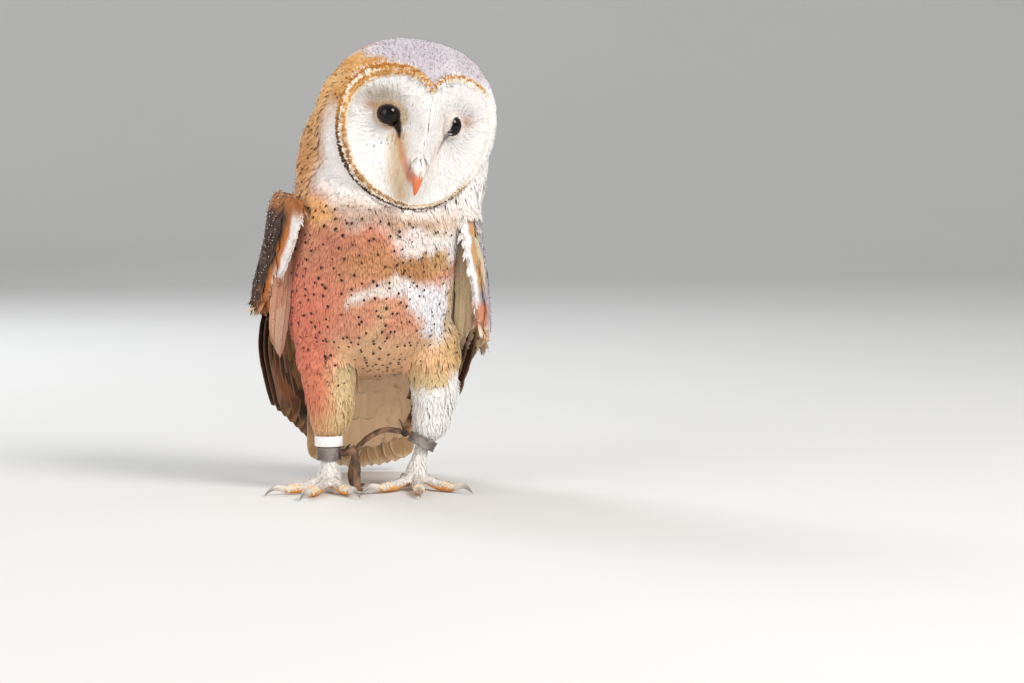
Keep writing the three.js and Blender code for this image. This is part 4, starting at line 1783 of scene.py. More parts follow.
@dataclass
class Coat:
    """Gathers tufts of one kind of plumage and makes them into pieces.

    Lie gives the plumage's direction at points and paint its colour, unwrap gives the flat
    place of roots on the skin's own shape, and the seed is that of all its chances. Margin
    and patch are shares of the baked image. Unlike is how much the tufts differ in size, and
    the tones how much they and their lobes differ in shade. A feather follows the skin where
    it lies nearer than hold, as a share of one step, and sinks by droop past its edge.
    """

    name: str
    skin: Ground
    slot: str
    seed: int
    unwrap: Paint
    lie: Paint
    paint: Paint
    limit: int = 195000
    margin: float = 0.002
    patch: float = 0.003
    unlike: float = 0.12
    tuft_tone: float = 0.035
    lobe_tone: float = 0.025
    hold: float = 0.45
    droop: float = 0.1
    stiffness: float = 0.55
    rng: np.random.Generator = field(init=False)
    blocks: list[dict[str, Array]] = field(default_factory=list)

    def __post_init__(self) -> None:
        """Starts the chances."""
        self.rng = np.random.default_rng(self.seed)

    def centrelines(
        self, roots: Array, normals: Array, lie: Paint, lengths: Array, steps: int, wander: float
    ) -> tuple[Array, Array, Array]:
        """Walks each feather's line over the skin, the way that its neighbours lie.

        Args:
            roots: Where the feathers grow.
            normals: The skin's normals there.
            lie: The coat's direction at given points.
            lengths: The feathers' lengths, in metres.
            steps: Stretches of the line.
            wander: How far a feather strays from the lie, in degrees.

        Returns:
            Points, normals and side vectors, each N by steps + 1 by 3.
        """
        stray = np.radians(self.rng.normal(0, wander, len(roots)))[:, None]
        at, up = roots, normals
        way = self.along(lie(at), up, stray)
        lines, ups, sides = [at], [up], [unit(np.cross(way, up))]
        stride = (lengths / steps)[:, None]
        for _ in range(steps):
            free = at + way * stride
            hit, up_hit, gap = self.skin.nearest(free)
            over = (gap < self.hold * stride[:, 0])[:, None]
            at = np.where(over, hit, free - up * stride * self.droop)
            up = np.where(over, up_hit, up)
            onward = self.along(lie(at), up, stray)
            way = unit(self.stiffness * self.flat(way, up) + (1 - self.stiffness) * onward)
            lines.append(at)
            ups.append(up)
            sides.append(unit(np.cross(way, up)))
        return np.stack(lines, 1), np.stack(ups, 1), np.stack(sides, 1)

    @staticmethod
    def flat(ways: Array, normals: Array) -> Array:
        """Directions laid flat on the skin."""
        return unit(ways - normals * (ways * normals).sum(axis=1, keepdims=True))

    @staticmethod
    def along(ways: Array, normals: Array, stray: Array) -> Array:
        """Directions laid flat on the skin and turned aside by an angle."""
        way = Coat.flat(ways, normals)
        return way * np.cos(stray) + np.cross(normals, way) * np.sin(stray)

    def grow(
        self, roots: Array, normals: Array, tuft: Tuft, scale: Array | float = 1.0,
        paint: Paint | None = None, tip: Paint | None = None, lie: Paint | None = None,
    ) -> None:
        """Grows one tuft at every root.

        Args:
            roots: Where the tufts grow.
            normals: The skin's normals there.
            tuft: The tufts' shape.
            scale: The tufts' size, for all or for each.
            paint: The colour at given points, where it isn't the coat's own.
            tip: The colour of the tufts' outer halves, where it differs.
            lie: The direction at given points, where it isn't the coat's own.
        """
        count = len(roots)
        rng = self.rng
        scale = scale * rng.uniform(1 - self.unlike, 1 + self.unlike, count)
        lines, ups, sides = self.centrelines(
            roots, normals, lie or self.lie, scale * tuft.length * MM, tuft.steps, tuft.wander
        )
        rows = (0.42, 0.8) if tuft.lobes > 1 else (0.3, 0.65)
        lobes = tuft.lobes
        place = np.linspace(-1, 1, lobes) if lobes > 1 else np.zeros(1)
        place = place[None, :] + rng.normal(0, 0.1, (count, lobes))
        reach = 1 - tuft.rounding * place**2 - tuft.fray * rng.random((count, lobes))
        reach = np.clip(reach, 0.3, 1.0)
        half = scale * tuft.width / 2 * MM
        lobe_half = half / lobes * tuft.swell * (1.0 if lobes > 1 else 1.0 / tuft.swell)
        rise = rng.normal(0, 0.18, (count, lobes)) * tuft.thickness
        shares = np.array([0.0, *rows, 1.0])
        heights = np.interp(shares, [0.0, 0.5, 1.0], tuft.lift)
        points, across, along = [], [], []
        for i, share in enumerate(shares):
            run = share * reach * tuft.steps
            low = np.minimum(run.astype(int), tuft.steps - 1)
            part = (run - low)[:, :, None]
            pick = np.arange(count)[:, None]
            centre = lines[pick, low] * (1 - part) + lines[pick, low + 1] * part
            up = unit(ups[pick, low] * (1 - part) + ups[pick, low + 1] * part)
            side = unit(sides[pick, low] * (1 - part) + sides[pick, low + 1] * part)
            spread = tuft.base + (1 - tuft.base) * share
            aside = place * half[:, None] * spread * (1 - 0.12 * share**3)
            high = heights[i] * np.sqrt(scale)[:, None] - tuft.camber * place**2 * share + rise
            middle = centre + side * aside[:, :, None] + up * (high * MM)[:, :, None]
            ridge = up * tuft.thickness * MM
            wide = side * (lobe_half * (1.0, 1.0, 0.72, 0.0)[i])[:, None, None]
            u = 0.5 + 0.42 * place
            v = np.broadcast_to(share * reach, u.shape)
            if share in (0.0, 1.0):
                points.append(middle + (0 if share else 0.3) * ridge)
                across.append(u)
                along.append(np.full_like(u, share))
            else:
                points += [middle - wide, middle + ridge, middle + wide]
                across += [u - 0.07, u, u + 0.07]
                along += [v, v, v]
        points = np.stack(points, 2)
        flat = points.reshape(-1, 3)
        tint = (paint or self.paint)(flat)
        if tip:
            outer = np.tile([0, 0, 0, 0, 1, 1, 1, 1], count * lobes)
            tint = blend(tint, tip(flat), outer)
        self.store(points, np.stack(across, 2), np.stack(along, 2), roots, tint)

    def sow(
        self, chosen: Array, spacing: float, tuft: Tuft, size: Paint | None = None, **choices: Paint
    ) -> None:
        """Grows tufts evenly over part of the skin.

        Args:
            chosen: Where, as a mask over the skin's vertices.
            spacing: The tufts' distance, in millimetres.
            tuft: The tufts' shape.
            size: Their size at given points, where they differ.
            **choices: The paint or the lie, where it isn't the coat's own.
        """
        roots, normals = self.skin.scatter(chosen, spacing, self.rng)
        self.grow(roots, normals, tuft, size(roots) if size else 1.0, **choices)

    def store(self, points: Array, across: Array, along: Array, roots: Array, tint: Array) -> None:
        """Keeps a block of lobes.

        Args:
            points: The lobes' corners, N by lobes by 8 by 3.
            across: The corners' places across the feather.
            along: The corners' places along it.
            roots: Where the feathers grow.
            tint: The corners' colours.
        """
        count, lobes, corners, _ = points.shape
        flat = points.reshape(-1, 3)
        tint = tint.reshape(count, lobes, corners, 3)
        of_tuft = self.rng.normal(1.0, self.tuft_tone, (count, 1, 1, 1))
        of_lobe = self.rng.normal(1.0, self.lobe_tone, (count, lobes, 1, 1))
        tint = np.clip(tint * (of_tuft * of_lobe), 0.0, 1.0)
        template = np.array(
            [(0, 2, 1), (0, 3, 2), (0, 1, 3), (1, 2, 5), (1, 5, 4), (2, 3, 6), (2, 6, 5),
             (3, 1, 4), (3, 4, 6), (4, 5, 7), (5, 6, 7), (6, 4, 7)]
        )
        if not faces_outward(points[0, 0], template):
            template = template[:, ::-1]
        starts = np.arange(count * lobes)[:, None, None] * corners
        self.blocks.append({
            "points": flat,
            "tint": tint.reshape(-1, 3),
            "vane": np.stack([across, along], -1).reshape(-1, 2),
            "root": np.repeat(roots, lobes * corners, axis=0),
            "faces": (template[None] + starts).reshape(-1, 3),
            "tuft": np.full(count, lobes * len(template)),
            "size": np.full(count, lobes * corners),
        })

    def build(self, material: Material) -> None:
        """Makes the gathered tufts into meshes of a limited size.

        Args:
            material: The coat's material.
        """
        offset = 0
        for block in self.blocks:
            block["faces"] = block["faces"] + offset
            offset += len(block["points"])
        whole = {key: np.concatenate([b[key] for b in self.blocks]) for key in self.blocks[0]}
        face_ends = np.cumsum(whole["tuft"])
        point_ends = np.cumsum(whole["size"])
        pieces = math.ceil(face_ends[-1] / self.limit)
        shares = face_ends[-1] * np.arange(1, pieces) / pieces
        cuts = [0, *(np.searchsorted(face_ends, shares) + 1), len(face_ends)]
        for i, (start, end) in enumerate(zip(cuts[:-1], cuts[1:])):
            faces = slice(face_ends[start - 1] if start else 0, face_ends[end - 1])
            points = slice(point_ends[start - 1] if start else 0, point_ends[end - 1])
            name = self.name if pieces == 1 else f"{self.name}_{i + 1}"
            vane = whole["vane"][points]
            obj = mesh_object(
                name, whole["points"][points], whole["faces"][faces] - points.start,
                self.bake_places(whole["root"][points], vane), vane, whole["tint"][points],
            )
            put(obj, material, self.slot)

    def bake_places(self, roots: Array, vane: Array) -> Array:
        """Places for the baked colours: each tuft on a small patch where its root lies.

        Args:
            roots: The root of each vertex's tuft.
            vane: The vertices' places on their own vanes.

        Returns:
            Flat places within the image's margin, N by 2.
        """
        flat = self.unwrap(roots)
        flat = (flat - flat.min(axis=0)) / np.maximum(np.ptp(flat, axis=0), 1e-9)
        return self.margin + flat * (1 - 2 * self.margin - self.patch) + vane * self.patch


def faces_outward(points: Array, faces: Array) -> bool:
    """Whether a closed form's triangles wind so that they face outward."""
    sample = points[faces] - points.mean(axis=0)
    return np.einsum("ij,ij->i", sample[:, 0], np.cross(sample[:, 1], sample[:, 2])).sum() > 0


def mesh_object(
    name: str, points: Array, triangles: Array, bake: Array, vane: Array, tint: Array
) -> Object:
    """A smooth, painted mesh object from arrays.

    Args:
        name: Its name.
        points: Its vertices, N by 3.
        triangles: Its faces, as vertex numbers, M by 3.
        bake: The vertices' places in the baked image, N by 2.
        vane: The vertices' places on their own feather, N by 2.
        tint: The vertices' colours, N by 3.

    Returns:
        The object, in the scene.
    """
    mesh = bpy.data.meshes.new(name)
    mesh.vertices.add(len(points))
    mesh.vertices.foreach_set("co", points.ravel())
    mesh.loops.add(triangles.size)
    mesh.loops.foreach_set("vertex_index", triangles.ravel())
    mesh.polygons.add(len(triangles))
    mesh.polygons.foreach_set("loop_start", np.arange(len(triangles)) * 3)
    mesh.polygons.foreach_set("use_smooth", np.ones(len(triangles), bool))
    mesh.update(calc_edges=True)
    mesh.set_sharp_from_angle(angle=SHARP_EDGE)
    for title, values in ((BAKE, bake), (VANE, vane)):
        layer = mesh.uv_layers.new(name=title)
        layer.data.foreach_set("uv", values[triangles.ravel()].ravel())
    mesh.uv_layers[BAKE].active = True
    obj = bpy.data.objects.new(name, mesh)
    bpy.context.scene.collection.objects.link(obj)
    Bench.paint(obj, tint)
    return obj


@dataclass
class Lie:
    """Which way the plumage lies at given points."""

    places: Places

    def body(self, points: Array) -> Array:
        """Down the breast, and down and back towards the tail behind."""
        back = ease(0, 40, self.places.local(points)[:, 1])
        return triples(0.0, 0.08 + 0.42 * back, -1.0)

    def crown(self, points: Array) -> Array:
        """From the rim over the crown and round the cheeks, then down the nape.

        Args:
            points: Points in the row frame.

        Returns:
            Directions, N by 3.
        """
        at = self.places.in_head(points)
        behind = ease(-30, 35, at[:, 1])
        below = ease(30, -30, at[:, 2])
        aside = 0.3 * np.tanh(at[:, 0] / 14) * (1 - behind)
        return self.places.head_way(triples(aside, 1.0 - 0.55 * below, -0.25 - 1.1 * behind - 1.3 * below))

    def face(self, points: Array) -> Array:
        """Out from each eye, and down along the ridge to the bill.

        Args:
            points: Points in the row frame.

        Returns:
            Directions, N by 3.
        """
        at = self.places.in_head(points)
        out = unit(triples(at[:, 0] - hand(at) * 15.0, 0.0, at[:, 2] - 4.0))
        down = 1.6 * triples(0.3 * np.tanh(at[:, 0] / 5), 0.0, -1.0)
        ridge = np.exp(-((at[:, 0] / 13.0) ** 2)) * ease(44, 30, at[:, 2])
        return self.places.head_way(unit(out * (1 - ridge)[:, None] + down * ridge[:, None]))

    def bridge(self, points: Array) -> Array:
        """Down the ridge and over the bill, parting a little at the middle."""
        at = self.places.in_head(points)
        return self.places.head_way(triples(0.06 * np.sign(at[:, 0]), -0.1, -1.0))

    def shoulder(self, points: Array) -> Array:
        """Out from the back over each folded wing, and down."""
        return triples(0.55 * hand(self.places.local(points)), 0.35, -1.0)

    def tail(self, points: Array) -> Array:
        """Along the tail."""
        return np.tile([0.05, 0.55, -0.83], (len(points), 1))

    def leg(self, points: Array) -> Array:
        """Down the leg."""
        return np.tile([0.0, 0.06, -1.0], (len(points), 1))

    def toe(self, points: Array) -> Array:
        """Out along each toe from the foot's middle.

        Args:
            points: Points in the row frame.

        Returns:
            Directions, N by 3.
        """
        at = self.places.local(points)
        foot = hand(at) * self.places.leg_x
        out = unit(np.stack([at[:, 0] - foot, at[:, 1] - self.places.foot_y], axis=1))
        return triples(*out.T, -0.15)

    def wing(self, points: Array) -> Array:
        """Down and back along the folded wing."""
        return triples(-0.1 * hand(self.places.local(points)), 0.42, -1.0)


@dataclass
class Unwrap:
    """Flat places on the skin's own shape, for the baked colours of each tuft."""

    places: Places

    def body(self, points: Array) -> Array:
        """The angle round the trunk, and the height."""
        at = self.places.local(points)
        return np.stack([np.arctan2(at[:, 0] - 2, -(at[:, 1] - 4)), at[:, 2] / 60], axis=1)

    def head(self, points: Array) -> Array:
        """The angle round the head's upright axis, and the latitude."""
        x, y, z = self.places.in_head(points).T
        return np.stack([np.arctan2(x, -y), np.arctan2(z, np.hypot(x, y))], axis=1)

    def face(self, points: Array) -> Array:
        """The disc opened flat about its ridge."""
        return self.places.in_head(points)[:, ::2] / 60

    def leg(self, points: Array) -> Array:
        """The angle round each leg, the two legs side by side, and the height.

        Args:
            points: Points in the row frame.

        Returns:
            Flat places, N by 2.
        """
        at = self.places.local(points)
        turn = np.arctan2(at[:, 0] - hand(at) * 30, -at[:, 1])
        return np.stack([turn + 3.6 * hand(at), at[:, 2] / 30], axis=1)

    def wing(self, points: Array) -> Array:
        """The way round each wing from its leading edge, and the height.

        Args:
            points: Points in the row frame.

        Returns:
            Flat places, N by 2.
        """
        at = self.places.local(points)
        round_wing = np.arctan2(np.abs(at[:, 0]) - 20, -(at[:, 1] - 10))
        return np.stack([(round_wing + 4) * hand(at), at[:, 2] / 40], axis=1)


# ---- head ----


@dataclass(frozen=True)
class Opening:
    """The opening between one eye's lids, in millimetres and degrees, and the lids' pale colours."""

    wide: float
    over: float
    under: float
    corner: float
    inner: float
    pale: tuple[str, str]


OPENINGS = {
    # The right lids' pale part is a darker tan than the left's cream: painted shade about the right eye.
    Side.RIGHT: Opening(6.5, 5.1, 5.7, 2.4, -47.0, ("8e745a", "b89b7c")),
    Side.LEFT: Opening(3.0, 5.0, 5.3, 1.08, -122.0, ("ddd0c4", "f0e8e0")),
}


@dataclass
class Eye:
    """One eye with its lids. Sizes are in millimetres, angles in degrees."""

    places: Places
    side: Side
    radius: float = 8.3
    bulge: float = 0.55
    outward: float = 17.0
    upward: float = 3.0
    outer: float = 8.1
    roll: float = 0.25
    opening: Opening = field(init=False)
    lid: Object = field(init=False)

    def __post_init__(self) -> None:
        """Finds the eye's own frame, whose Z looks out."""
        x, y, z = self.places.eye
        centre = Vector((self.side * x, y, z)) * MM
        turn = Matrix.Rotation(math.radians(self.outward) * self.side, 4, "Z")
        nod = Matrix.Rotation(math.radians(90 - self.upward), 4, "X")
        self.frame = self.places.head @ Matrix.Translation(centre) @ turn @ nod
        self.opening = OPENINGS[self.side]

    def build(self) -> None:
        """Makes the ball and the lids."""
        self.ball()
        self.lids()

    def ball(self) -> None:
        """A ball with the clear front's bulge."""
        Bench.clear()
        bpy.ops.mesh.primitive_uv_sphere_add(segments=56, ring_count=36, radius=self.radius * MM)
        ball = bpy.context.object
        points = Bench.coordinates(ball)
        front = points[:, 2] / (self.radius * MM)
        points[:, 2] += self.bulge * MM * ease(0.62, 1.0, front)
        Bench.reshape(ball, points)
        Bench.smooth(ball)
        Bench.settle(ball, f"eyeball_{self.side.word}", self.frame)
        gaze = self.frame.to_3x3() @ Vector((0, 0, 1))
        finish = EyeFinish(
            f"eye_{self.side.word}_finish", tuple(self.frame.translation), tuple(gaze.normalized())
        )
        put(ball, finish.material(), "eye", f"eye_{self.side.word}")

    def rim(self, around: Array) -> Array:
        """The opening's radius at an angle, drawn out at the inner corner by the bill.

        Args:
            around: Angles round the opening, in radians.

        Returns:
            Radii, in millimetres.
        """
        high = np.where(np.sin(around) > 0, self.opening.over, self.opening.under)
        oval = 1.0 / np.hypot(np.cos(around) / self.opening.wide, np.sin(around) / high)
        return oval + self.opening.corner * self.by_corner(around, 0.42)

    def by_corner(self, around: Array, spread: float) -> Array:
        """How near an angle lies to the inner corner, from 0 to 1."""
        off = (around - math.radians(self.opening.inner) + np.pi) % (2 * np.pi) - np.pi
        return np.exp(-((off / spread) ** 2))

    def lids(self) -> None:
        """A rolled rim that hugs the ball: dark at the opening, pale where feathers begin."""
        Bench.clear()
        bpy.ops.mesh.primitive_torus_add(
            major_segments=112, minor_segments=20, major_radius=1.0, minor_radius=self.roll
        )
        lid = bpy.context.object
        points = Bench.coordinates(lid)
        around = np.arctan2(points[:, 1], points[:, 0])
        out = (np.hypot(points[:, 0], points[:, 1]) - 1.0) / self.roll
        up = points[:, 2] / self.roll
        rim = self.rim(around)
        reach = rim - 0.2 + (self.outer - rim + 0.2) * (out + 1) / 2
        angle = np.arcsin(np.clip(reach / (self.radius + 0.4), -0.99, 0.99))
        past = reach - rim
        shell = self.radius + 0.12 + up * (0.3 + 0.3 * np.exp(-((past / 0.6) ** 2)))
        flat = shell * np.sin(angle)
        shaped = triples(flat * np.cos(around), flat * np.sin(around), shell * np.cos(angle))
        Bench.reshape(lid, shaped * MM)
        Bench.smooth(lid)
        Bench.paint(lid, ease(0.55, 1.15, past - 2.2 * self.by_corner(around, 0.3)))
        Bench.settle(lid, f"eyelids_{self.side.word}", self.frame)
        finish = LidFinish(f"lid_skin_{self.side.word}", *self.opening.pale)
        self.lid = put(lid, finish.material(), "foot_skin")

    def feathered(self, points: Array) -> Array:
        """Whether points near this eye lie where its lids bear feathers.

        Args:
            points: Points in the row frame.

        Returns:
            A mask over the points.
        """
        back = np.array(self.frame.inverted())
        at = (points @ back[:3, :3].T + back[:3, 3]) / MM
        out = np.hypot(at[:, 0], at[:, 1])
        bare = out < self.rim(np.arctan2(at[:, 1], at[:, 0])) + 0.45
        return ~(bare & (at[:, 2] > 0))


@dataclass
class Bill:
    """The hooked bill, in the head's frame.

    Each row is a section: its place back and up, its half sizes and how far it leans.
    """

    places: Places
    upper: tuple = (
        (-37.0, -9.5, 4.4, 4.4, -50), (-42.0, -12.5, 4.4, 4.6, -40), (-45.6, -16.5, 4.1, 4.4, -26),
        (-48.0, -21.5, 3.7, 3.9, -14), (-49.6, -26.5, 3.1, 3.2, -4), (-50.1, -30.6, 2.25, 2.4, 6),
        (-49.7, -33.8, 1.25, 1.5, 14), (-49.0, -35.9, 0.45, 0.6, 20),
    )
    lower: tuple = (
        (-38.0, -15.5, 3.6, 2.6, -45), (-42.5, -19.5, 3.3, 2.3, -34), (-45.3, -24.0, 2.6, 1.7, -18),
        (-46.6, -27.6, 1.7, 1.1, -8), (-47.2, -29.8, 0.7, 0.5, -4),
    )

    def build(self) -> Object:
        """Makes both halves and gives back the upper one.

        Returns:
            The upper half.
        """
        finish = HornFinish("bill_horn_finish", "e4b795", "db733f").material()
        for name, rows in (("bill_upper", self.upper), ("bill_lower", self.lower)):
            stations = [Station((0, y, z), (wide, deep), lean) for y, z, wide, deep, lean in rows]
            piece = swept(f"{name}_horn", stations, 16)
            points = Bench.coordinates(piece) / MM
            if name == "bill_upper":
                self.detail(points)
            Bench.reshape(piece, points * MM)
            Bench.paint(piece, ease(-17, -27, points[:, 2]))
            piece.data.transform(self.places.head)
            put(piece, finish, "bill_horn", name)
        return bpy.data.objects["bill_upper_horn"]

    @staticmethod
    def detail(points: Array) -> None:
        """Presses a keel and the nostrils into the upper half, given in millimetres.

        Args:
            points: Its vertices, which are moved in place.
        """
        x, y, z = points.T
        y -= 0.45 * np.exp(-((x / 1.1) ** 2)) * (y < -46)
        x -= np.sign(x) * 0.7 * spot(y, -45, 1.2, z, -14, 0.8) * (np.abs(x) > 2)


# ---- feet ----


@dataclass(frozen=True)
class Toe:
    """One toe: its heading from straight ahead, its length and its claw's, in millimetres."""

    side: Side
    name: str
    heading: float
    length: float
    claw: float


TOES = (
    Toe(Side.RIGHT, "outer", -64, 27, 14),
    Toe(Side.RIGHT, "middle", -27, 33, 16),
    Toe(Side.RIGHT, "inner", 14, 27, 15),
    Toe(Side.RIGHT, "hind", 168, 18, 14),
    Toe(Side.LEFT, "outer", 37, 26, 14),
    Toe(Side.LEFT, "middle", -8, 33, 16),
    Toe(Side.LEFT, "inner", -54, 28, 15),
    Toe(Side.LEFT, "hind", 186, 18, 14),
)


@dataclass
class Feet:
    """Claws and the scales on the toes' ends."""

    places: Places
    ball: float = 8.3
    claw_length: float = 16.0

    def toe_matrix(self, toe: Toe) -> Matrix:
        """Carries +Y from the foot's middle to the toe's own heading.

        Args:
            toe: The toe.

        Returns:
            The matrix.
        """
        foot = self.places.point(toe.side * self.places.leg_x, self.places.foot_y, 0)
        turn = Matrix.Rotation(math.radians(toe.heading + 180), 4, "Z")
        return Matrix.Translation(foot) @ turn

    def build(self) -> None:
        """Models one claw and one scale, and copies them to every toe."""
        claw = self.claw()
        scale = self.scale()
        claws = HornFinish("claw_horn_finish", "dcd5ca", "8a827b", 1300.0).material()
        scales = []
        for toe in TOES:
            there = self.toe_matrix(toe)
            reach = self.ball + toe.length
            stretch = Matrix.Diagonal((1.0, toe.claw / self.claw_length, 1.0, 1.0))
            place = there @ Matrix.Translation((0, reach * MM, 0)) @ stretch
            copy = Bench.twin(claw, f"horn_claw_{toe.side.word}_{toe.name}", place)
            put(copy, claws, "claw_horn", f"claw_{toe.side.word}_{toe.name}")
            for i in range(4):
                size = 1.0 - 0.07 * i
                fit = Matrix.Diagonal((size, 1.0, size, 1.0))
                at = Matrix.Translation((0, (reach - 9.4 + 2.5 * i) * MM, 0))
                scales.append(Bench.twin(scale, f"scale_{toe.side.word}_{toe.name}_{i}", there @ at @ fit))
        for spare in (claw, scale):
            bpy.data.objects.remove(spare)
        joined = Bench.join(scales, "toe_scales")
        Bench.paint(joined, wash("d9c8ad", joined.data.vertices))
        put(joined, ScaleFinish().material(), "foot_skin")

    def claw(self) -> Object:
        """A curved, pointed claw along +Y whose root sits in the toe's end.

        Returns:
            The claw.
        """
        path = (
            (-3.4, 3.5, 2.35), (-1.5, 3.9, 2.4), (1.0, 4.6, 2.3), (4.0, 5.2, 2.05), (7.0, 5.1, 1.7),
            (10.0, 4.2, 1.3), (12.4, 2.9, 0.9), (14.2, 1.6, 0.55), (15.2, 0.75, 0.22),
        )
        stations = []
        for i, (y, z, radius) in enumerate(path):
            before, after = path[max(i - 1, 0)], path[min(i + 1, len(path) - 1)]
            lean = math.degrees(math.atan2(after[1] - before[1], after[0] - before[0]))
            stations.append(Station((0, y, z), (radius * 0.82, radius), lean - 90))
        claw = swept("claw_form", stations, 12)
        points = Bench.coordinates(claw) / MM
        Bench.paint(claw, ease(2.0, 13.0, points[:, 1]))
        return claw

    def scale(self) -> Object:
        """A small saddle-shaped plate that lies over a toe.

        Returns:
            The plate.
        """
        Bench.clear()
        bpy.ops.mesh.primitive_grid_add(x_subdivisions=10, y_subdivisions=4, size=1.0)
        plate = bpy.context.object
        points = Bench.coordinates(plate)
        turn = points[:, 0] * math.radians(150)
        along = points[:, 1]
        radius = 3.75 - 0.25 * np.cos(along * np.pi) + 0.2 * (0.5 - along)
        reach = along * 2.7 * (1 - 0.25 * (turn / 1.3) ** 2)
        shaped = triples(radius * np.sin(turn), reach, 2.9 + radius * np.cos(turn))
        Bench.reshape(plate, shaped * MM)
        Bench.modify(plate, "SOLIDIFY", thickness=0.45 * MM, offset=0.0)
        Bench.modify(plate, "BEVEL", width=0.12 * MM, segments=2)
        Bench.mend(plate)
        Bench.smooth(plate)
        return Bench.settle(plate, "scale_form")


@dataclass(frozen=True)
class ScaleFinish:
    """Pale horny scales of the toes."""

    name: str = "toe_scale_finish"

    def material(self) -> Material:
        """Horn mottled with grey and yellow.

        Returns:
            The material.
        """
        nodes = Nodes(self.name)
        mottle = nodes.noise(700.0, 4.0)
        colour = nodes.mix(nodes.ramp(mottle, 0.4, 0.65), "e2c593", "e2dace")
        nodes.bump(mottle, 0.0001)
        return nodes.surface(colour, 0.5, Specular_IOR_Level=0.45)


# ---- what the owl wears ----


@dataclass
class Fittings:
    """Leg ring, anklets and knots.

    An anklet's numbers are its inner radius, its height and how far it tips; a knot's are its
    place and the way that its tab points.
    """

    places: Places
    anklets: dict = field(default_factory=lambda: {
        Side.RIGHT: (6.3, 8.4, 0.0), Side.LEFT: (7.9, 6.6, 26.0),
    })
    tabs: dict = field(default_factory=lambda: {
        Side.LEFT: ((19.5, -9.0, 36.5), (-4.2, -0.5, 9.5)),
        Side.RIGHT: ((-19.3, -5.5, 24.5), (3.4, -4.0, 6.0)),
    })

    def build(self) -> None:
        """Makes each piece."""
        ring = self.band(7.4, 8.9, 6.6, 0.35)
        place = Matrix.Translation(Places.middle("leg_ring"))
        put(Bench.settle(ring, "ring_on_leg", place), RingFinish().material(), "ring_plastic", "leg_ring")
        leather = LeatherFinish("anklet_leather_finish", "776b67", "ab9f9a").material()
        for side, (inner, height, tip) in self.anklets.items():
            tilt = Matrix.Rotation(math.radians(tip), 4, "Y")
            place = Matrix.Translation(Places.middle(f"anklet_{side.word}")) @ tilt
            band = Bench.settle(self.anklet(inner, height), f"anklet_band_{side.word}", place)
            put(band, leather, "anklet_leather", f"anklet_{side.word}")
        for side in self.tabs:
            self.knot(side)

    @staticmethod
    def band(inner: float, outer: float, height: float, bevel: float) -> Object:
        """A plain ring with rounded edges, in millimetres.

        Args:
            inner: The inner radius, in millimetres.
            outer: The outer radius, in millimetres.
            height: Its height, in millimetres.
            bevel: The edges' rounding, in millimetres.

        Returns:
            The ring, at the origin.
        """
        Bench.clear()
        bpy.ops.mesh.primitive_cylinder_add(
            vertices=64, radius=outer * MM, depth=height * MM, end_fill_type="NOTHING"
        )
        band = bpy.context.object
        Bench.modify(band, "SOLIDIFY", thickness=(outer - inner) * MM, offset=-1.0)
        Bench.modify(band, "BEVEL", width=bevel * MM, segments=3, limit_method="ANGLE")
        Bench.mend(band)
        Bench.smooth(band)
        Bench.hold(band)
        bpy.ops.object.shade_smooth_by_angle(angle=math.radians(50))
        return band

    def anklet(self, inner: float, height: float) -> Object:
        """A leather band that is wrapped past its own end.

        Args:
            inner: The inner radius, in millimetres.
            height: Its height, in millimetres.

        Returns:
            The band, at the origin.
        """
        Bench.clear()
        bpy.ops.mesh.primitive_grid_add(x_subdivisions=90, y_subdivisions=8, size=1.0)
        strip = bpy.context.object
        points = Bench.coordinates(strip)
        share = points[:, 0] + 0.5
        turn = share * 2 * math.pi * 1.12 - 0.35
        tall = points[:, 1] * (height - 0.2)
        out = inner + 0.45 + ease(0.85, 0.93, share) * 0.62
        out = out + 0.22 * (np.abs(points[:, 1]) * 2) ** 3 + 0.1 * np.sin(turn * 5 + points[:, 1] * 4)
        narrow = 1 - 0.25 * ease(0.93, 1.0, share)
        shaped = triples(out * np.cos(turn), out * np.sin(turn), tall * narrow)
        Bench.reshape(strip, shaped * MM)
        Bench.modify(strip, "SOLIDIFY", thickness=0.8 * MM, offset=0.0)
        Bench.modify(strip, "BEVEL", width=0.2 * MM, segments=2, limit_method="ANGLE")
        Bench.mend(strip)
        Bench.smooth(strip)
        return strip

    def knot(self, side: Side) -> None:
        """A strap's folded knot with the pointed tab that sticks out of it.

        Args:
            side: Whose it is.
        """
        centre, way = self.tabs[side]
        long = math.dist(way, (0, 0, 0))
        rows = ((0, -1.2, 1.6, 0.75), (0, 0.2 * long, 2.2, 0.8), (0.3, 0.55 * long, 1.7, 0.7),
                (0.1, 0.85 * long, 0.8, 0.5), (-0.2, long, 0.25, 0.25))
        stations = [Station((0, y, z), (wide, thick)) for y, z, wide, thick in rows]
        tab = swept(f"tab_{side.word}", stations, 8)
        tab.data.transform(Vector(way).to_track_quat("Z", "Y").to_matrix().to_4x4())
        pieces = [tab]
        for i, (tilt, turn) in enumerate(((20, 0), (95, 40), (60, -50))):
            Bench.clear()
            bpy.ops.mesh.primitive_torus_add(
                major_segments=28, minor_segments=10, major_radius=1.75 * MM, minor_radius=1.0 * MM
            )
            wrap = bpy.context.object
            wrap.data.transform(Matrix.Diagonal((1.1, 0.9, 1.25, 1.0)))
            wrap.data.transform(Euler((math.radians(tilt), 0, math.radians(turn))).to_matrix().to_4x4())
            pieces.append(Bench.settle(wrap, f"wrap_{side.word}_{i}"))
        knot = Bench.join(pieces, f"strap_knot_{side.word}")
        Bench.smooth(knot)
        Bench.settle(knot, f"strap_knot_{side.word}", Matrix.Translation(self.places.point(*centre)))
        finish = LeatherFinish(f"knot_leather_{side.word}", "33241c", "8f6a50")
        put(knot, finish.material(), "strap_leather", f"knot_{side.word}")


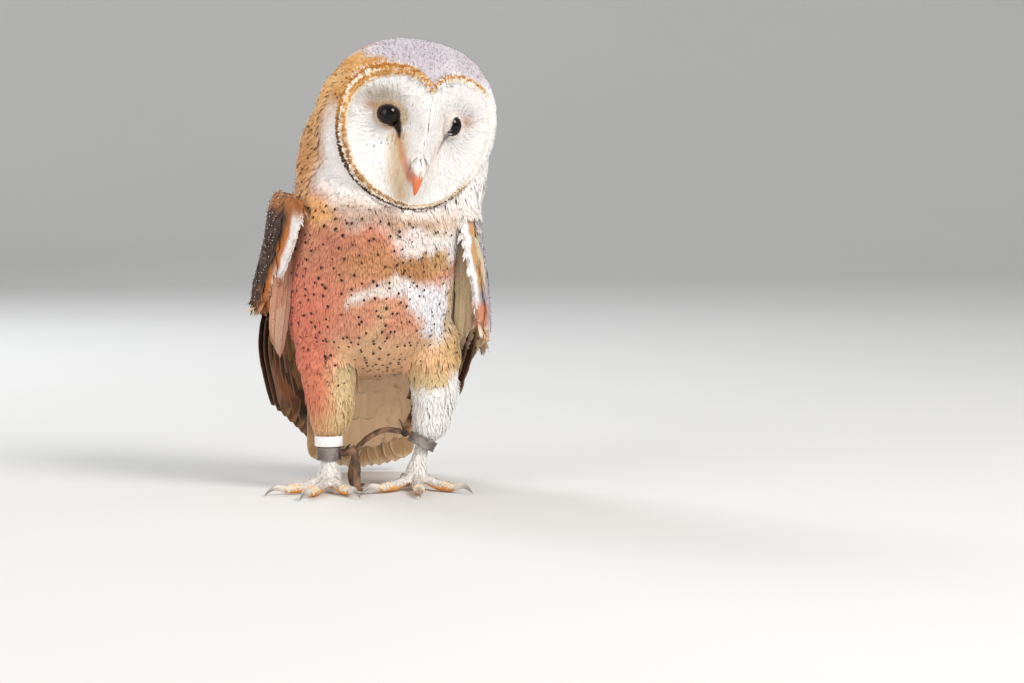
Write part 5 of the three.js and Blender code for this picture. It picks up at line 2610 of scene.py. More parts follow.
# ---- flight feathers ----


@dataclass(frozen=True)
class Quill:
    """One flight or tail feather. Places and sizes are in owl-local millimetres."""

    root: tuple[float, float, float]
    bend: tuple[float, float, float]
    tip: tuple[float, float, float]
    width: float
    upright: tuple[float, float, float]
    ground: str = "d3a878"
    lead: float = 0.42
    blunt: float = 0.16
    rough: float = 0.03
    arch: float = 0.05


class QuillFan:
    """Builds firm feathers: a cambered vane on each side of a raised shaft."""

    columns = (-1.0, -0.72, -0.42, -0.16, -0.05, 0.05, 0.16, 0.42, 0.72, 1.0)
    rows = 26

    def __init__(self, places: Places, seed: int) -> None:
        """Starts an empty fan.

        Args:
            places: The owl's frames.
            seed: The seed of its chances.
        """
        self.places = places
        self.rng = np.random.default_rng(seed)
        self.quills: list[Quill] = []

    def shape(self, quill: Quill) -> tuple[Array, Array]:
        """One feather's two faces.

        Args:
            quill: The feather.

        Returns:
            Points, rows by 2 faces by columns by 3 in metres, and their places on the vane.
        """
        root, bend, tip = (np.array(p) for p in (quill.root, quill.bend, quill.tip))
        share = np.linspace(0, 1, self.rows) ** 0.9
        t = 2 * share[:, None]
        first = curved(2 * root - bend, root, bend, tip, t)
        line = np.where(t < 1, first, curved(root, bend, tip, 2 * tip - bend, t - 1))
        way = unit(np.gradient(line, axis=0))
        up = np.array(quill.upright, float)
        side = unit(np.cross(way, up))
        up = np.cross(side, way)
        swell = 0.5 + 0.5 * np.sin(np.pi * np.clip(share * 0.72 + 0.1, 0, 0.62))
        end = np.clip((1 - share) / quill.blunt, 0, 1)
        half = quill.width / 2 * swell * np.sqrt(1 - (1 - end) ** 2)
        half = np.maximum(half, 0.25) * ease(-0.08, 0.06, share)
        points, vane = [], []
        ragged = 1 + quill.rough * self.rng.normal(0, 1, (self.rows, 2)) * (share > 0.3)[:, None]
        splits = self.rng.integers(8, self.rows - 3, 2)
        ragged[splits, self.rng.integers(0, 2, 2)] *= 1 - 4 * quill.rough
        for face in (1, -1):
            rows, flats = [], []
            for column in self.columns:
                wide = quill.lead if column < 0 else 1 - quill.lead
                fray = ragged[:, 0 if column < 0 else 1] if abs(column) == 1 else 1.0
                aside = column * 2 * wide * half * fray
                thick = 0.26 * (1 - 0.6 * abs(column))
                if abs(column) <= 0.05:
                    thick = 0.75 - 0.5 * share
                camber = -quill.arch * quill.width / 2 * column**2 * swell
                high = camber + face * thick
                rows.append(line + side * np.reshape(aside, (-1, 1)) + up * np.reshape(high, (-1, 1)))
                inset = 0.47 if face > 0 else 0.5
                flats.append(np.stack([np.full(self.rows, 0.5 + column * inset), share], axis=1))
            points.append(np.stack(rows, 1))
            vane.append(np.stack(flats, 1))
        return np.stack(points, 1), np.stack(vane, 1)

    def build(self, name: str, material: Material, slot: str, *nodes: str) -> None:
        """Makes all the feathers one mesh, each of them closed.

        Args:
            name: The piece's name.
            material: The feathers' material.
            slot: A slot's name, handed on to put.
            *nodes: The CAD nodes that the piece stands for.
        """
        across = len(self.columns)
        ring = [(0, k) for k in range(across)] + [(1, k) for k in range(across - 1, -1, -1)]
        order = np.array([face * across + k for face, k in ring])
        faces = []
        for i in range(self.rows - 1):
            low, high = order + i * 2 * across, order + (i + 1) * 2 * across
            for k in range(len(order)):
                m = (k + 1) % len(order)
                faces.append((low[k], low[m], high[m]))
                faces.append((low[k], high[m], high[k]))
        for row, flip in ((0, False), (self.rows - 1, True)):
            at = row * 2 * across
            for k in range(across - 1):
                quad = (at + k, at + k + 1, at + across + k + 1, at + across + k)
                quad = quad[::-1] if flip else quad
                faces += [(quad[0], quad[2], quad[1]), (quad[0], quad[3], quad[2])]
        template = np.array(faces)
        points, vanes, bakes, triangles, tints = [], [], [], [], []
        count = len(self.quills)
        for i, quill in enumerate(self.quills):
            shape, vane = self.shape(quill)
            flat = shape.reshape(-1, 3)
            faces = template if faces_outward(flat, template) else template[:, ::-1]
            triangles.append(faces + i * len(flat))
            points.append(flat * MM + self.places.shift)
            vanes.append(vane.reshape(-1, 2))
            tints.append(wash(quill.ground, flat))
            bakes.append((vane.reshape(-1, 2) * (0.94, 0.98) + (i + 0.03, 0.01)) * (1 / count, 1))
        arrays = (np.concatenate(rows) for rows in (points, triangles, bakes, vanes, tints))
        put(mesh_object(name, *arrays), material, slot, *nodes)


def mixed(first: Sequence[float], second: Sequence[float], share: float) -> Array:
    """A point between two."""
    return np.array(first) + np.subtract(second, first) * share


@dataclass
class Wings:
    """The long feathers of both folded wings."""

    places: Places
    primaries: int = 9
    secondaries: int = 9
    primary_tips: tuple = ((56, 50, 50), (45, 65, 41), (34, 82, 32), (24, 97, 23), (14, 110, 14))
    secondary_tips: tuple = ((51, 60, 74), (39, 74, 66), (26, 84, 60), (13, 92, 56))
    spread: dict = field(default_factory=lambda: {Side.RIGHT: 1.5, Side.LEFT: 2.0})
    linings: dict = field(default_factory=lambda: {
        Side.LEFT: (((51, -22, 167), (54, -14, 128), (56, 3, 92)),
                    ((60, -28, 160), (66, -17, 132), (66, 0, 104))),
        Side.RIGHT: (((54, -16, 150), (56, -8, 118), (58, 4, 84)),
                     ((59, -20, 148), (62, -9, 120), (63, 2, 92))),
    })
    lining_grounds: dict = field(default_factory=lambda: {
        Side.LEFT: ("fae6c4", "f3dab0", "fcefd8"), Side.RIGHT: ("e5ab8c", "d29070", "eec3a6"),
    })
    primary_grounds: tuple = ("543426", "63402c", "d0a183", "bb7244", "704730", "c48a58", "b97f4c",
                              "c48f5c", "c9966a")

    def along(self, table: tuple, share: float) -> Array:
        """A tip between the tips of a table."""
        at = np.linspace(0, 1, len(table))
        return np.array([np.interp(share, at, [row[k] for row in table]) for k in range(3)])

    def build(self) -> None:
        """Makes primaries and secondaries on each side."""
        for side in Side:
            flip = np.array([side, 1, 1])
            long = QuillFan(self.places, 40 + side)
            for i in range(self.primaries):
                share = i / (self.primaries - 1)
                out = np.array([self.spread[side] * (1 - share), 0, 0])
                tip = self.along(self.primary_tips, share) + 0.4 * out
                long.quills.append(Quill(
                    tuple((mixed((60, 12, 136), (44, 40, 124), share) + out) * flip),
                    tuple((mixed((65, 34, 96), (28, 80, 72), share) + out) * flip),
                    tuple(tip * flip),
                    23.0,
                    (side * (0.95 - 0.5 * share), 0.3 + 0.55 * share, 0.15),
                    self.primary_grounds[i],
                ))
            short = QuillFan(self.places, 50 + side)
            for i in range(self.secondaries):
                share = i / (self.secondaries - 1)
                tip = self.along(self.secondary_tips, share)
                short.quills.append(Quill(
                    tuple(mixed((56, 22, 138), (16, 50, 140), share) * flip),
                    tuple(mixed((60, 46, 104), (15, 67, 98), share) * flip),
                    tuple((tip + np.array([0.5, 1.2, 0])) * flip),
                    21.0,
                    (side * (0.8 - 0.6 * share), 0.6 + 0.3 * share, 0.2),
                    "c99760",
                    blunt=0.22,
                ))
            finish = QuillFinish(f"primary_vane_{side.word}", "4a3023", "d6ae86", 2.4, 0.6)
            long.build(
                f"primaries_{side.word}", finish.material(), "flight_feathers",
                f"wing_{side.word}_primaries",
            )
            finish = QuillFinish(f"secondary_vane_{side.word}", "6b523f", "e2c8a4", 3.0)
            short.build(
                f"secondaries_{side.word}", finish.material(), "flight_feathers",
                f"wing_{side.word}_secondaries",
            )
            self.lining(side)

    def lining(self, side: Side) -> None:
        """Soft feathers that hang from the leading edge's inner side and close the gap to the flank.

        Args:
            side: Whose it is.
        """
        soft = QuillFan(self.places, 70 + side)
        inner, outer = self.linings[side]
        grounds = self.lining_grounds[side]
        count = 14
        for i in range(count):
            row, share = i % 2, i / (count - 1)
            root, bend, tip = (mixed(a, b, share) for a, b in zip(inner, outer))
            lower = np.array([0, 0.8 - 1.6 * row, 7.0 * row + soft.rng.uniform(-2.5, 2.5)])
            flip = np.array([side, 1, 1])
            soft.quills.append(Quill(
                tuple(root * flip), tuple((bend + 0.5 * lower) * flip), tuple((tip + lower) * flip), 7.0,
                (side * (-0.25 + 0.3 * share), -1.0, 0.15), grounds[int(soft.rng.integers(len(grounds)))],
                lead=0.5, blunt=0.35, rough=0.035, arch=0.1,
            ))
        finish = QuillFinish(f"lining_vane_{side.word}", "9a6c4c", grounds[0], 1.2, 0.1, grounds[1])
        soft.build(f"wing_lining_{side.word}", finish.material(), "covert_feathers")


@dataclass
class Tail:
    """Twelve tail feathers with their tips on the floor, and the long soft coverts before them."""

    places: Places
    root: tuple[float, float, float] = (0, 42, 98)
    tip: tuple[float, float, float] = (8, 102, 0)
    feathers: int = 12

    def build(self) -> None:
        """Makes the fan and its coverts."""
        fan = QuillFan(self.places, 60)
        root, tip = np.array(self.root, float), np.array(self.tip, float)
        for i in range(self.feathers):
            across = i / (self.feathers - 1) - 0.5
            rank = 1.6 * math.cos(math.pi * across) + 0.35 * (i % 2)
            short = 9 * (2 * across) ** 2
            fan.quills.append(Quill(
                tuple(root + np.array([across * 24, 0, 0])),
                tuple((root + tip) / 2 + np.array([across * 51, 4 + rank, 2 + rank])),
                tuple(tip + np.array([across * 57, rank - 0.55 * short, 0.9 + rank + 0.83 * short])),
                17.0,
                (0, 0.83, 0.56),
                lead=0.5,
                blunt=0.13,
                rough=0.008,
                arch=0.03,
            ))
        finish = QuillFinish("tail_vane", "96704c", "ead2ae", 3.6, 0.35)
        fan.build("tail_feathers_long", finish.material(), "tail_feathers", "tail")
        self.coverts(root, tip)

    def coverts(self, root: Array, tip: Array) -> None:
        """Rows of broad soft feathers that hide the fan from below, the lowest row first.

        Args:
            root: The tail's root, in owl-local millimetres.
            tip: The tail's end.
        """
        soft = QuillFan(self.places, 61)
        for row, (top, low, wide, count) in enumerate(
            ((0.28, 0.83, 50, 7), (0.12, 0.62, 44, 6), (-0.02, 0.42, 36, 5))
        ):
            near_body = np.array([0, -1.6 - 0.9 * row, -0.6 - 0.4 * row])
            for i in range(count):
                across = i / (count - 1) - 0.5
                start = root + (tip - root) * top + near_body + np.array([across * 26, 0, 0])
                end = root + (tip - root) * low + near_body + np.array([across * wide, 0, 0])
                end[2] += 5 * (2 * across) ** 2 + soft.rng.uniform(-1, 1)
                bend = (start + end) / 2 + np.array([across * 5, -0.6, 0])
                soft.quills.append(Quill(
                    tuple(start), tuple(bend), tuple(end), 24.0, (0, -0.83, -0.56), "f5cda2",
                    lead=0.5, blunt=0.6, rough=0.05, arch=0.01,
                ))
        finish = QuillFinish("tail_covert_vane", "e4b88d", "efcba2", 1.5, 0.1, "eec59b")
        soft.build("tail_coverts_soft", finish.material(), "tail_feathers")


# ---- the whole coat ----


@dataclass(frozen=True)
class RimRow:
    """One row of the feathers that stand along the heart's rim.

    Inset is how far inside the rim it grows where the rim is 5 mm broad, length and lift are
    those of its feathers and offset shifts them by a share of their spacing. Base and low
    are the colours of the feathers' lower halves above and below, cream is how pale the tips
    are and bright how much of that the brow takes away.
    """

    inset: float
    length: float
    lift: float
    offset: float
    base: str
    low: str
    cream: float = 0.0
    bright: float = 0.0


RIM = (
    RimRow(4.6, 3.4, 1.9, 0.0, "f3e6cd", "f3e6cd", 0.25),
    RimRow(3.1, 3.6, 2.5, 0.5, "dcae6b", "b98f5c", 0.0, 0.8),
    RimRow(1.6, 3.7, 2.9, 0.0, "ecd0a0", "dcc6a0", 0.6, 0.9),
    RimRow(0.0, 3.9, 3.1, 0.5, "a67640", "4e351d"),
    RimRow(-1.5, 4.6, 2.8, 0.0, "f6ecdd", "e9dccb"),
)
RIM_BREADTH = ((-180, 0.55), (-150, 0.75), (-120, 0.95), (-85, 0.9), (-60, 1.3), (-40, 1.25), (-15, 0.65),
               (0, 0.5), (30, 0.6), (52, 0.5), (100, 0.15), (150, 0.2), (180, 0.5))


@dataclass
class Plumage:
    """Grows each part of the coat over the skin."""

    places: Places
    disc: Disc
    skin: Skin
    bill: Object
    eyes: Sequence[Eye]
    markings: Markings
    lie: Lie
    unwrap: Unwrap
    rim_count: int = 164
    material: Material = field(init=False)

    def __post_init__(self) -> None:
        """Makes the one material of soft plumage."""
        self.material = SoftPlume().material()

    def painter(self, part: Part) -> Paint:
        """The markings of one part, as a function of points alone."""
        return lambda points: self.markings.tint(points, np.full(len(points), part))

    def build(self) -> None:
        """Grows everything."""
        self.face()
        self.bridge()
        self.ruff()
        self.crown()
        self.breast()
        self.back()
        self.legs()
        self.feet()
        self.wings()
        self.under_wings()

    def face(self) -> None:
        """Long fine white tufts that radiate over the disc, shortest by the eyes."""
        ground = Ground()
        ground.take([self.skin.obj, *(eye.lid for eye in self.eyes)])
        lids = len(ground.points) - len(self.skin.points)
        chosen = np.concatenate([self.skin.parts == Part.DISC, np.ones(lids, bool)])
        for eye in self.eyes:
            chosen &= eye.feathered(ground.points)
        coat = Coat("face_plumes", ground, "face_feathers", 101, self.unwrap.face, self.lie.face,
                    self.painter(Part.DISC))
        tuft = Tuft(9.5, 1.7, lobes=3, lift=(0.1, 1.0, 1.35), thickness=0.1, camber=0.1,
                    fray=0.3, base=0.3, wander=4.0, swell=1.1)
        coat.sow(chosen, 1.3, tuft, self.face_size)
        coat.build(self.material)

    def face_size(self, points: Array) -> Array:
        """The size of the disc's tufts, small by the eyes and at the rim.

        Args:
            points: Points in the row frame.

        Returns:
            The tufts' sizes.
        """
        heads = self.places.in_head(points)
        share, _ = self.disc.reach(heads)
        gap = np.hypot(np.abs(heads[:, 0]) - 19.6, heads[:, 2] - 9)
        near_eye = 0.24 + (gap - np.where(heads[:, 0] < 0, 6, 5)) / 20
        return np.clip(near_eye, 0.22, 1.0) * np.where(share > 0.86, 0.7, 1.0)

    def bridge(self) -> None:
        """Bristles of the ridge that hide the bill down to its tip."""
        ground = Ground()
        ground.take([self.skin.obj, self.bill])
        x, y, z = self.places.in_head(ground.points).T
        ridge = (np.abs(x) < 8.0) & (z > -22) & (z < 8) & (y < -36)
        coat = Coat("bridge_plumes", ground, "face_feathers", 111, self.unwrap.face, self.lie.bridge,
                    self.painter(Part.DISC))
        tuft = Tuft(13.5, 1.3, lobes=3, lift=(0.1, 0.8, 0.5), thickness=0.1, camber=0.05,
                    fray=0.4, base=0.25, steps=4, wander=3.0, swell=1.2)
        coat.sow(ridge, 1.05, tuft, self.bridge_size)
        coat.build(self.material)

    def bridge_size(self, points: Array) -> Array:
        """The size of the ridge's bristles, smaller towards the bill's tip."""
        return np.clip(1.0 - (-5 - self.places.in_head(points)[:, 2]) / 26, 0.35, 1.0)

    def ruff(self) -> None:
        """Rows of small stiff feathers that stand up along the heart's rim."""
        coat = Coat("ruff_plumes", self.skin, "face_feathers", 102, self.unwrap.head, self.outward,
                    self.markings.body)
        for rank, row in enumerate(RIM):
            turn = (np.arange(self.rim_count) + row.offset) / self.rim_count * 2 * np.pi
            turn += coat.rng.normal(0, 0.005, self.rim_count)
            breadth = self.breadth(turn)
            radius = self.disc.radius(turn) - 2.2 - row.inset * breadth
            heads = triples(radius * np.sin(turn), 0.0, radius * np.cos(turn) + self.disc.lift)
            roots, normals, _ = self.skin.nearest(self.on_disc(heads))
            tuft = Tuft(row.length, 3.6, lobes=4, lift=(0.3, 0.85 * row.lift, row.lift), thickness=0.2,
                        camber=0.4, fray=0.12, rounding=0.3, base=0.8, steps=2, wander=7.0)
            size = np.clip(0.5 + 0.55 * breadth, 0.6, 1.0)
            base, tip = partial(self.ruff_base, rank), partial(self.ruff_tip, rank)
            coat.grow(roots, normals, tuft, size, base, tip)
        coat.build(self.material)

    @staticmethod
    def breadth(turn: Array) -> Array:
        """How broad the rim is at an angle from straight up; 1 is about 5 mm."""
        around = (np.degrees(turn) + 180) % 360 - 180
        return np.interp(around, *zip(*RIM_BREADTH))

    def on_disc(self, heads: Array) -> Array:
        """Drops points of the head's frame onto the face from the front.

        Args:
            heads: Points in the head's frame, in millimetres.

        Returns:
            The points where they land, in the row frame.
        """
        starts = self.places.out_of_head(heads + (0, -90.0, 0))
        way = Vector(self.places.head_way(np.array([[0.0, 1.0, 0.0]]))[0])
        found = []
        for start in starts:
            hit = self.skin.tree.ray_cast(Vector(start), way)[0]
            found.append(hit if hit is not None else Vector(start) + way * 0.05)
        return np.array(found)

    def outward(self, points: Array) -> Array:
        """Away from the disc's centre, and a little backward."""
        at = self.places.in_head(points)
        return self.places.head_way(unit(triples(at[:, 0], 9.0, at[:, 2] - self.disc.lift)))

    def ruff_base(self, rank: int, points: Array) -> Array:
        """The lower halves of one row of the rim: cream, or like the coat behind it.

        Args:
            rank: The row's number, from the inside.
            points: Points in the row frame.

        Returns:
            Linear colours.
        """
        _, turn = self.disc.reach(self.places.in_head(points))
        around = np.degrees(turn)
        colours = laid(
            wash(RIM[rank].base, points),
            RIM[rank].low, ease(70, 110, -around) + ease(118, 136, around),
            "f9f4ec", (rank < 2) * within(around, 2, 60, 6),
            "fbf8f4", within(around, 52, 124, 8),
        )
        return self.by_coat(rank, colours, points, 0.8)

    def ruff_tip(self, rank: int, points: Array) -> Array:
        """The tips of one row of the rim: gold above, dark below, white by the left cheek.

        Args:
            rank: The row's number, from the inside.
            points: Points in the row frame.

        Returns:
            Linear colours.
        """
        at = self.places.in_head(points)
        _, turn = self.disc.reach(at)
        around = np.degrees(turn)
        wave = cloud(at, 5.0, 20 + rank)
        fleck = cloud(at, 1.6, 40 + rank)
        gold = laid(wash("bd7826", points), "e6b060", ease(0.1, 0.7, wave + fleck))
        dark = laid(wash("34200f", points), "7d5527", ease(0.3, 0.9, wave + fleck))
        umber = laid(wash("80501f", points), "cf9d5e", ease(0.0, 0.6, fleck))
        low = ease(76, 118, -around) + ease(118, 140, around)
        cream = RIM[rank].cream * (1 - RIM[rank].bright * within(around, -46, 2, 10))
        right = ease(2, 8, around) * (rank < 2)
        colours = laid(
            blend(gold, dark if rank >= 3 else umber, low),
            "fbf7f0", np.maximum(cream + 0.7 * fleck * (rank < 3), right),
            "fbf7f2", 0.97 * within(around, 54, 122, 6),
        )
        return self.by_coat(rank, colours, points, 0.85)

    def by_coat(self, rank: int, colours: Array, points: Array, share: float) -> Array:
        """Draws the outermost row's colours towards those of the coat behind it.

        Args:
            rank: The row's number, from the inside.
            colours: The row's own colours.
            points: Points in the row frame.
            share: How far.

        Returns:
            Linear colours.
        """
        if rank < len(RIM) - 1:
            return colours
        return blend(colours, self.markings.body(points), np.full(len(points), share))

    def crown(self) -> None:
        """Close-set small feathers over the head, finely specked where it is grey."""
        skin = self.skin
        chosen = skin.parts == Part.CROWN
        crown_colours = self.painter(Part.CROWN)
        coat = Coat("crown_plumes", skin, "face_feathers", 103, self.unwrap.head, self.lie.crown, crown_colours)
        coat.sow(chosen, 2.72, Tuft(8.0, 4.2, lobes=5, lift=(0.2, 1.9, 2.5), camber=0.3, fray=0.12))
        white = self.markings.cheek(skin.points)
        at = self.places.in_head(skin.points)
        nape = chosen & (at[:, 0] < -36) & (at[:, 2] < 24) & (at[:, 1] > -12) & (white < 0.3)
        ruffled = Tuft(11.0, 4.8, lobes=5, lift=(0.3, 3.0, 3.9), camber=0.3, fray=0.2, wander=5)
        # The ruffled nape tufts take the crown's colours lightened towards f0c488: painted light that eases
        # the shade between them.
        coat.sow(nape, 3.4, ruffled, paint=lambda at: laid(crown_colours(at), "f0c488", 0.4))
        behind = ease(0, 20, at[:, 1]) * (white < 0.3)
        veil = self.markings.veil(skin.points)
        grey = chosen & (veil > 0.4) & (behind < 0.5)
        self.dots(coat, grey, 2.9, 2.6, 0.27, "6c5d66")
        gold = chosen & (veil <= 0.4) & (behind < 0.5) & (white < 0.3) & (at[:, 2] < 32)
        self.dots(coat, gold & ~nape, 6.0, 2.6, 0.6, "4a3226")
        self.dots(coat, nape, 6.0, 3.9, 0.7, "4a3226")
        self.pearls(coat, chosen & (behind >= 0.5), 4.3, 2.6, 0.7)
        fluff = Tuft(9.0, 1.8, lobes=3, lift=(0.4, 2.2, 2.6), fray=0.4, base=0.2, wander=7)
        coat.sow(chosen & (white > 0.5), 3.0, fluff)
        coat.build(self.material)

    def dots(
        self, coat: Coat, chosen: Array, spacing: float, height: float, size: float,
        colour: str = "33241c",
    ) -> None:
        """Small dark dots on the tips of feathers.

        Args:
            coat: The coat that they belong to.
            chosen: Where, as a mask over the skin's vertices.
            spacing: Their distance, in millimetres.
            height: Their height over the skin, in millimetres.
            size: Their size; 1 is a dot of about 2.4 mm.
            colour: Their colour.
        """
        roots, normals = self.thinned(coat, chosen, spacing, 0.85)
        vary = coat.rng.uniform(0.65, 1.1, len(roots))
        dot = Tuft(2.6 * size, 2.0 * size, lobes=1, lift=(height, height + 0.25, height + 0.3),
                   thickness=0.16, camber=0.1, fray=0.15, steps=2, wander=10)
        coat.grow(roots, normals, dot, vary, lambda points: wash(colour, points))

    def pearls(self, coat: Coat, chosen: Array, spacing: float, height: float, size: float) -> None:
        """Dark specks that each end in a white one, as on the back.

        Args:
            coat: The coat that they belong to.
            chosen: Where, as a mask over the skin's vertices.
            spacing: Their distance, in millimetres.
            height: Their height over the skin, in millimetres.
            size: Their size; 1 is a pair of about 4 mm.
        """
        roots, normals = self.thinned(coat, chosen, spacing, 0.8)
        dark = Tuft(2.3 * size, 1.3 * size, lobes=2, lift=(height, height + 0.25, height + 0.35),
                    camber=0.1, fray=0.2, steps=2, wander=8)
        coat.grow(roots, normals, dark, paint=lambda points: wash("3a2b24", points))
        step = Coat.flat(coat.lie(roots), normals) * 1.7 * size * MM
        white = Tuft(1.3 * size, 1.0 * size, lobes=1, lift=(height + 0.2, height + 0.45, height + 0.5),
                     camber=0.1, fray=0.1, steps=2, wander=8)
        coat.grow(roots + step, normals, white, paint=lambda points: wash("f2eee8", points))

    def thinned(self, coat: Coat, chosen: Array, spacing: float, share: float) -> tuple[Array, Array]:
        """Roots over part of the skin of which chance keeps a share, and the normals there.

        Args:
            coat: The coat that they belong to.
            chosen: Where, as a mask over the skin's vertices.
            spacing: Their distance, in millimetres.
            share: The share that is kept.

        Returns:
            The roots, and the surface's normals there.
        """
        roots, normals = self.skin.scatter(chosen, spacing, coat.rng)
        keep = coat.rng.random(len(roots)) < share
        return roots[keep], normals[keep]

    def breast(self) -> None:
        """Soft feathers of neck, breast and flanks, with dark drops."""
        skin = self.skin
        at = self.places.local(skin.points)
        trunk = (skin.parts == Part.NECK) | (skin.parts == Part.TRUNK)
        front = trunk & (at[:, 1] < 14)
        coat = Coat("breast_plumes", skin, "breast_feathers", 104, self.unwrap.body, self.lie.body,
                    self.painter(Part.TRUNK))
        tuft = Tuft(12.0, 5.4, lobes=6, lift=(0.3, 3.2, 4.0), thickness=0.16, camber=0.4, fray=0.22,
                    wander=5.0)
        coat.sow(front, 3.1, tuft)
        coat.sow(front, 4.2, Tuft(11.0, 1.8, lobes=3, lift=(0.5, 3.5, 4.5), fray=0.4, base=0.15, wander=10))
        pale = self.markings.cheek(skin.points) > 0.4
        spotted = front & ~pale & (at[:, 2] < 184)
        self.dots(coat, spotted & (at[:, 0] < 12), 7.4, 4.8, 0.95)
        self.dots(coat, spotted & (at[:, 0] >= 12), 8.2, 4.8, 0.8)
        self.dots(coat, trunk & (at[:, 2] >= 184) & (at[:, 0] < -20) & ~pale, 5.0, 4.8, 0.6)
        coat.build(self.material)

    def back(self) -> None:
        """Feathers of nape, back and rump, and the scapulars that lap over the wings."""
        skin = self.skin
        at = self.places.local(skin.points)
        trunk = (skin.parts == Part.NECK) | (skin.parts == Part.TRUNK)
        back = trunk & (at[:, 1] >= 14)
        coat = Coat("back_plumes", skin, "breast_feathers", 105, self.unwrap.body, self.lie.body,
                    self.painter(Part.TRUNK))
        tuft = Tuft(13.0, 7.0, lobes=7, lift=(0.3, 3.0, 3.9), thickness=0.16, camber=0.5, fray=0.1)
        coat.sow(back, 4.2, tuft)
        self.pearls(coat, back & (at[:, 2] > 95), 6.2, 4.6, 1.1)
        shoulder = back & (np.abs(at[:, 0]) > 20) & (at[:, 2] > 112) & (at[:, 2] < 190)
        lap = Tuft(24.0, 10.0, lobes=9, lift=(0.8, 4.4, 4.8), thickness=0.18, camber=0.6, fray=0.07, steps=4)
        coat.sow(shoulder, 5.0, lap, lie=self.lie.shoulder)
        rump = (skin.parts == Part.TRUNK) & (at[:, 2] < 104) & (at[:, 1] > 18)
        long = Tuft(26.0, 9.0, lobes=7, lift=(0.4, 3.0, 3.6), camber=0.8, fray=0.15, steps=4)
        coat.sow(rump, 5.0, long, lie=self.lie.tail, paint=self.tail_paint)
        coat.build(self.material)

    def tail_paint(self, points: Array) -> Array:
        """Tan in waves under the tail, and the back's own colours above it.

        Args:
            points: Points in the row frame.

        Returns:
            Linear colours.
        """
        at = self.places.local(points)
        tan = laid(wash("e6bd90", points), "cf9f6e", 0.5 * ease(-0.2, 0.7, cloud(at, 8.0, 31)))
        _, normals, _ = self.skin.nearest(points)
        looks_back = 0.83 * normals[:, 1] + 0.55 * normals[:, 2]
        upper = ease(44, 58, at[:, 1]) * ease(-0.1, 0.3, looks_back)
        return blend(tan, self.markings.dorsal(points), upper)

    def legs(self) -> None:
        """Short dense feathers of the thighs, longest and loosest at their lower ends."""
        skin = self.skin
        x, y, z = self.places.local(skin.points).T
        coat = Coat("leg_plumes", skin, "leg_feathers", 106, self.unwrap.leg, self.lie.leg,
                    self.painter(Part.THIGH))
        chosen = skin.parts == Part.THIGH
        dense = Tuft(9.0, 3.4, lobes=5, lift=(0.2, 2.2, 2.6), camber=0.2, fray=0.3, base=0.35)
        coat.sow(chosen, 2.62, dense)
        loose = Tuft(10.0, 1.5, lobes=3, lift=(0.4, 2.5, 4.0), fray=0.5, base=0.1, wander=10)
        coat.sow(chosen & (z < 64), 2.5, loose)
        lock = Tuft(17.0, 1.4, lobes=3, lift=(0.5, 3.0, 5.5), fray=0.45, base=0.1, wander=6)
        coat.sow(chosen & (x > 44) & (z > 60) & (z < 73) & (y < 16), 2.2, lock, paint=self.leg_white)
        fringe = Tuft(9.0, 1.0, lobes=2, lift=(0.4, 1.8, 3.2), fray=0.5, base=0.1, wander=7)
        coat.sow(chosen & (x > 30) & (z > 38) & (z < 58), 3.6, fringe, paint=self.leg_white)
        self.dots(coat, chosen & (z > 66) & (x < -20), 9.0, 3.4, 0.75, "4a2a1c")
        self.dots(coat, chosen & (z > 76) & (x > 0), 9.0, 3.4, 0.7, "4a2a1c")
        coat.build(self.material)

    @staticmethod
    def leg_white(points: Array) -> Array:
        """The white of the left leg's locks."""
        return wash("fbf9f7", points)

    def feet(self) -> None:
        """Bristles on shanks and toes."""
        skin = self.skin
        height = self.places.local(skin.points)[:, 2]
        coat = Coat("foot_bristles", skin, "foot_skin", 107, self.unwrap.leg, self.lie.leg,
                    lambda points: wash("f8f4ef", points))
        tuft = Tuft(4.6, 1.1, lobes=3, lift=(0.1, 0.7, 1.0), thickness=0.1, camber=0.05, fray=0.35,
                    base=0.3, wander=7)
        coat.sow((skin.parts == Part.SHANK) & (height > 5), 1.4, tuft)
        bristle = Tuft(3.6, 0.8, lobes=2, lift=(0.1, 0.5, 0.85), thickness=0.1, camber=0.05, fray=0.4,
                       base=0.25, steps=2, wander=12)
        top = (skin.parts == Part.TOE) & (skin.normals[:, 2] > 0.05) & (height > 3.2)
        coat.sow(top, 1.4, bristle, lie=self.lie.toe)
        coat.build(self.material)

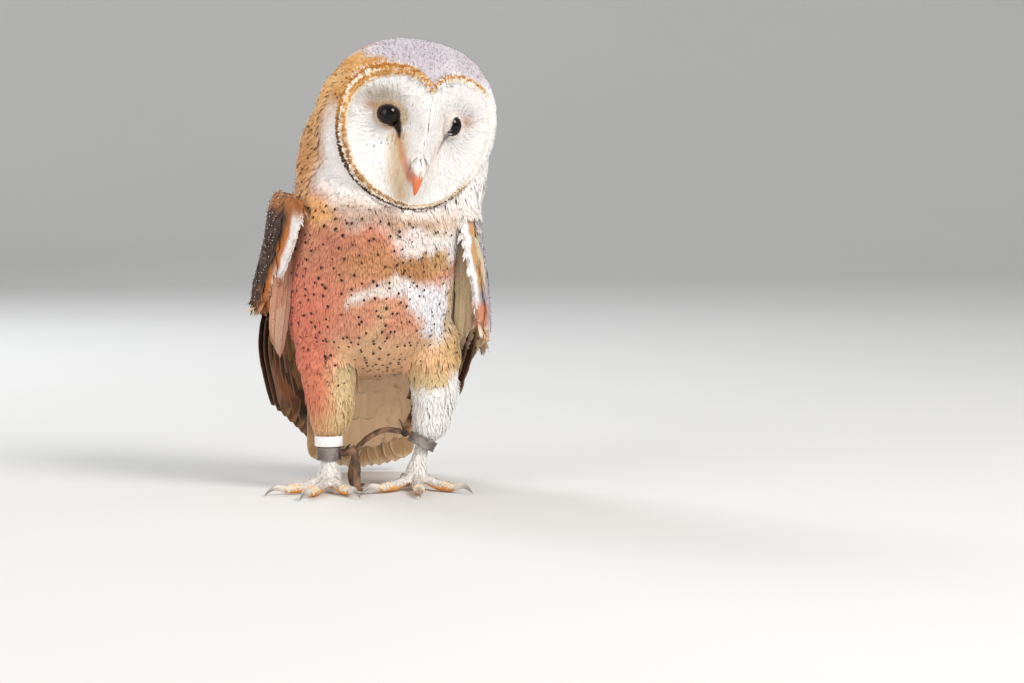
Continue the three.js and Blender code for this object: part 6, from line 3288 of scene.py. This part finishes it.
    def wings(self) -> None:
        """Coverts in order of size over the outside of the folded wings."""
        skin = self.skin
        at = self.places.local(skin.points)
        outer = (skin.parts == Part.WING) & ~skin.inner
        coat = Coat("covert_plumes", skin, "covert_feathers", 108, self.unwrap.wing, self.lie.wing,
                    self.painter(Part.WING))
        edge = wing_edge(at)
        fall = wing_fall(at)
        front = outer & (edge < 13) & (fall < 0.88)
        small = Tuft(8.0, 2.4, lobes=3, lift=(0.2, 0.7, 0.4), thickness=0.1, camber=0.1, fray=0.1,
                     wander=1.5)
        coat.sow(front, 2.2, small)
        outer &= ~front
        for low, high, spacing, tuft in (
            (-1.0, 0.45, 3.4, Tuft(9.5, 5.6, lobes=6, lift=(0.2, 1.5, 1.9), camber=0.4, fray=0.06)),
            (0.45, 0.75, 4.2, Tuft(14.0, 7.4, lobes=7, lift=(0.2, 1.6, 1.9), camber=0.5, fray=0.05)),
            (0.75, 2.0, 5.0, Tuft(19.0, 8.6, lobes=8, lift=(0.2, 1.5, 1.6), camber=0.5, fray=0.05,
                                  wander=4)),
        ):
            coat.sow(outer & (fall >= low) & (fall < high), spacing, tuft, self.covert_size)
        self.pearls(coat, outer & (edge > 38) & (fall < 0.97), 6.0, 2.3, 1.1)
        self.pearls(coat, outer & (edge > 15) & (edge <= 38) & (fall < 0.97), 4.6, 2.3, 0.6)
        coat.build(self.material)

    def covert_size(self, points: Array) -> Array:
        """The size of the coverts, smaller at the wing's lower end."""
        return 1 - 0.5 * ease(0.78, 0.98, wing_fall(self.places.local(points)))

    def under_wings(self) -> None:
        """Buff feathers with dark streaks inside the folded wings."""
        skin = self.skin
        edge = wing_edge(self.places.local(skin.points))
        inner = (skin.parts == Part.WING) & skin.inner
        coat = Coat("underwing_plumes", skin, "covert_feathers", 109, self.unwrap.wing, self.lie.wing,
                    self.markings.under_wing)
        brim = inner & (edge < 10)
        coat.sow(inner & ~brim, 4.6, Tuft(12.0, 6.6, lobes=5, lift=(0.2, 1.4, 1.4), camber=0.5, fray=0.08))
        small = Tuft(8.0, 2.6, lobes=3, lift=(0.2, 0.7, 0.4), camber=0.1, fray=0.1, wander=1.5)
        coat.sow(brim, 2.6, small)
        streak = Tuft(3.6, 1.1, lobes=2, lift=(1.9, 2.2, 2.3), camber=0.1, steps=2)
        coat.sow(inner & (edge > 9), 7.5, streak, paint=lambda points: wash("4a3829", points))
        coat.build(self.material)


# ---- assembly ----


def main() -> None:
    """Builds the owl and its studio, and reports each piece."""
    logging.basicConfig(level=logging.INFO, format="%(name)s %(message)s", stream=sys.stdout)
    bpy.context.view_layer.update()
    places = Places()
    Studio(places).build()
    for side, route in STRAP_ROUTES.items():
        Strap(places, side, route).build()
    disc = Disc()
    markings = Markings(places, disc)
    skin = Skin(places, disc)
    skin.build(markings)
    eyes = [Eye(places, side) for side in Side]
    for eye in eyes:
        eye.build()
    bill = Bill(places).build()
    Feet(places).build()
    Fittings(places).build()
    Wings(places).build()
    Tail(places).build()
    Plumage(places, disc, skin, bill, eyes, markings, Lie(places), Unwrap(places)).build()
    Bench.clear()


if __name__ == "__main__":
    main()
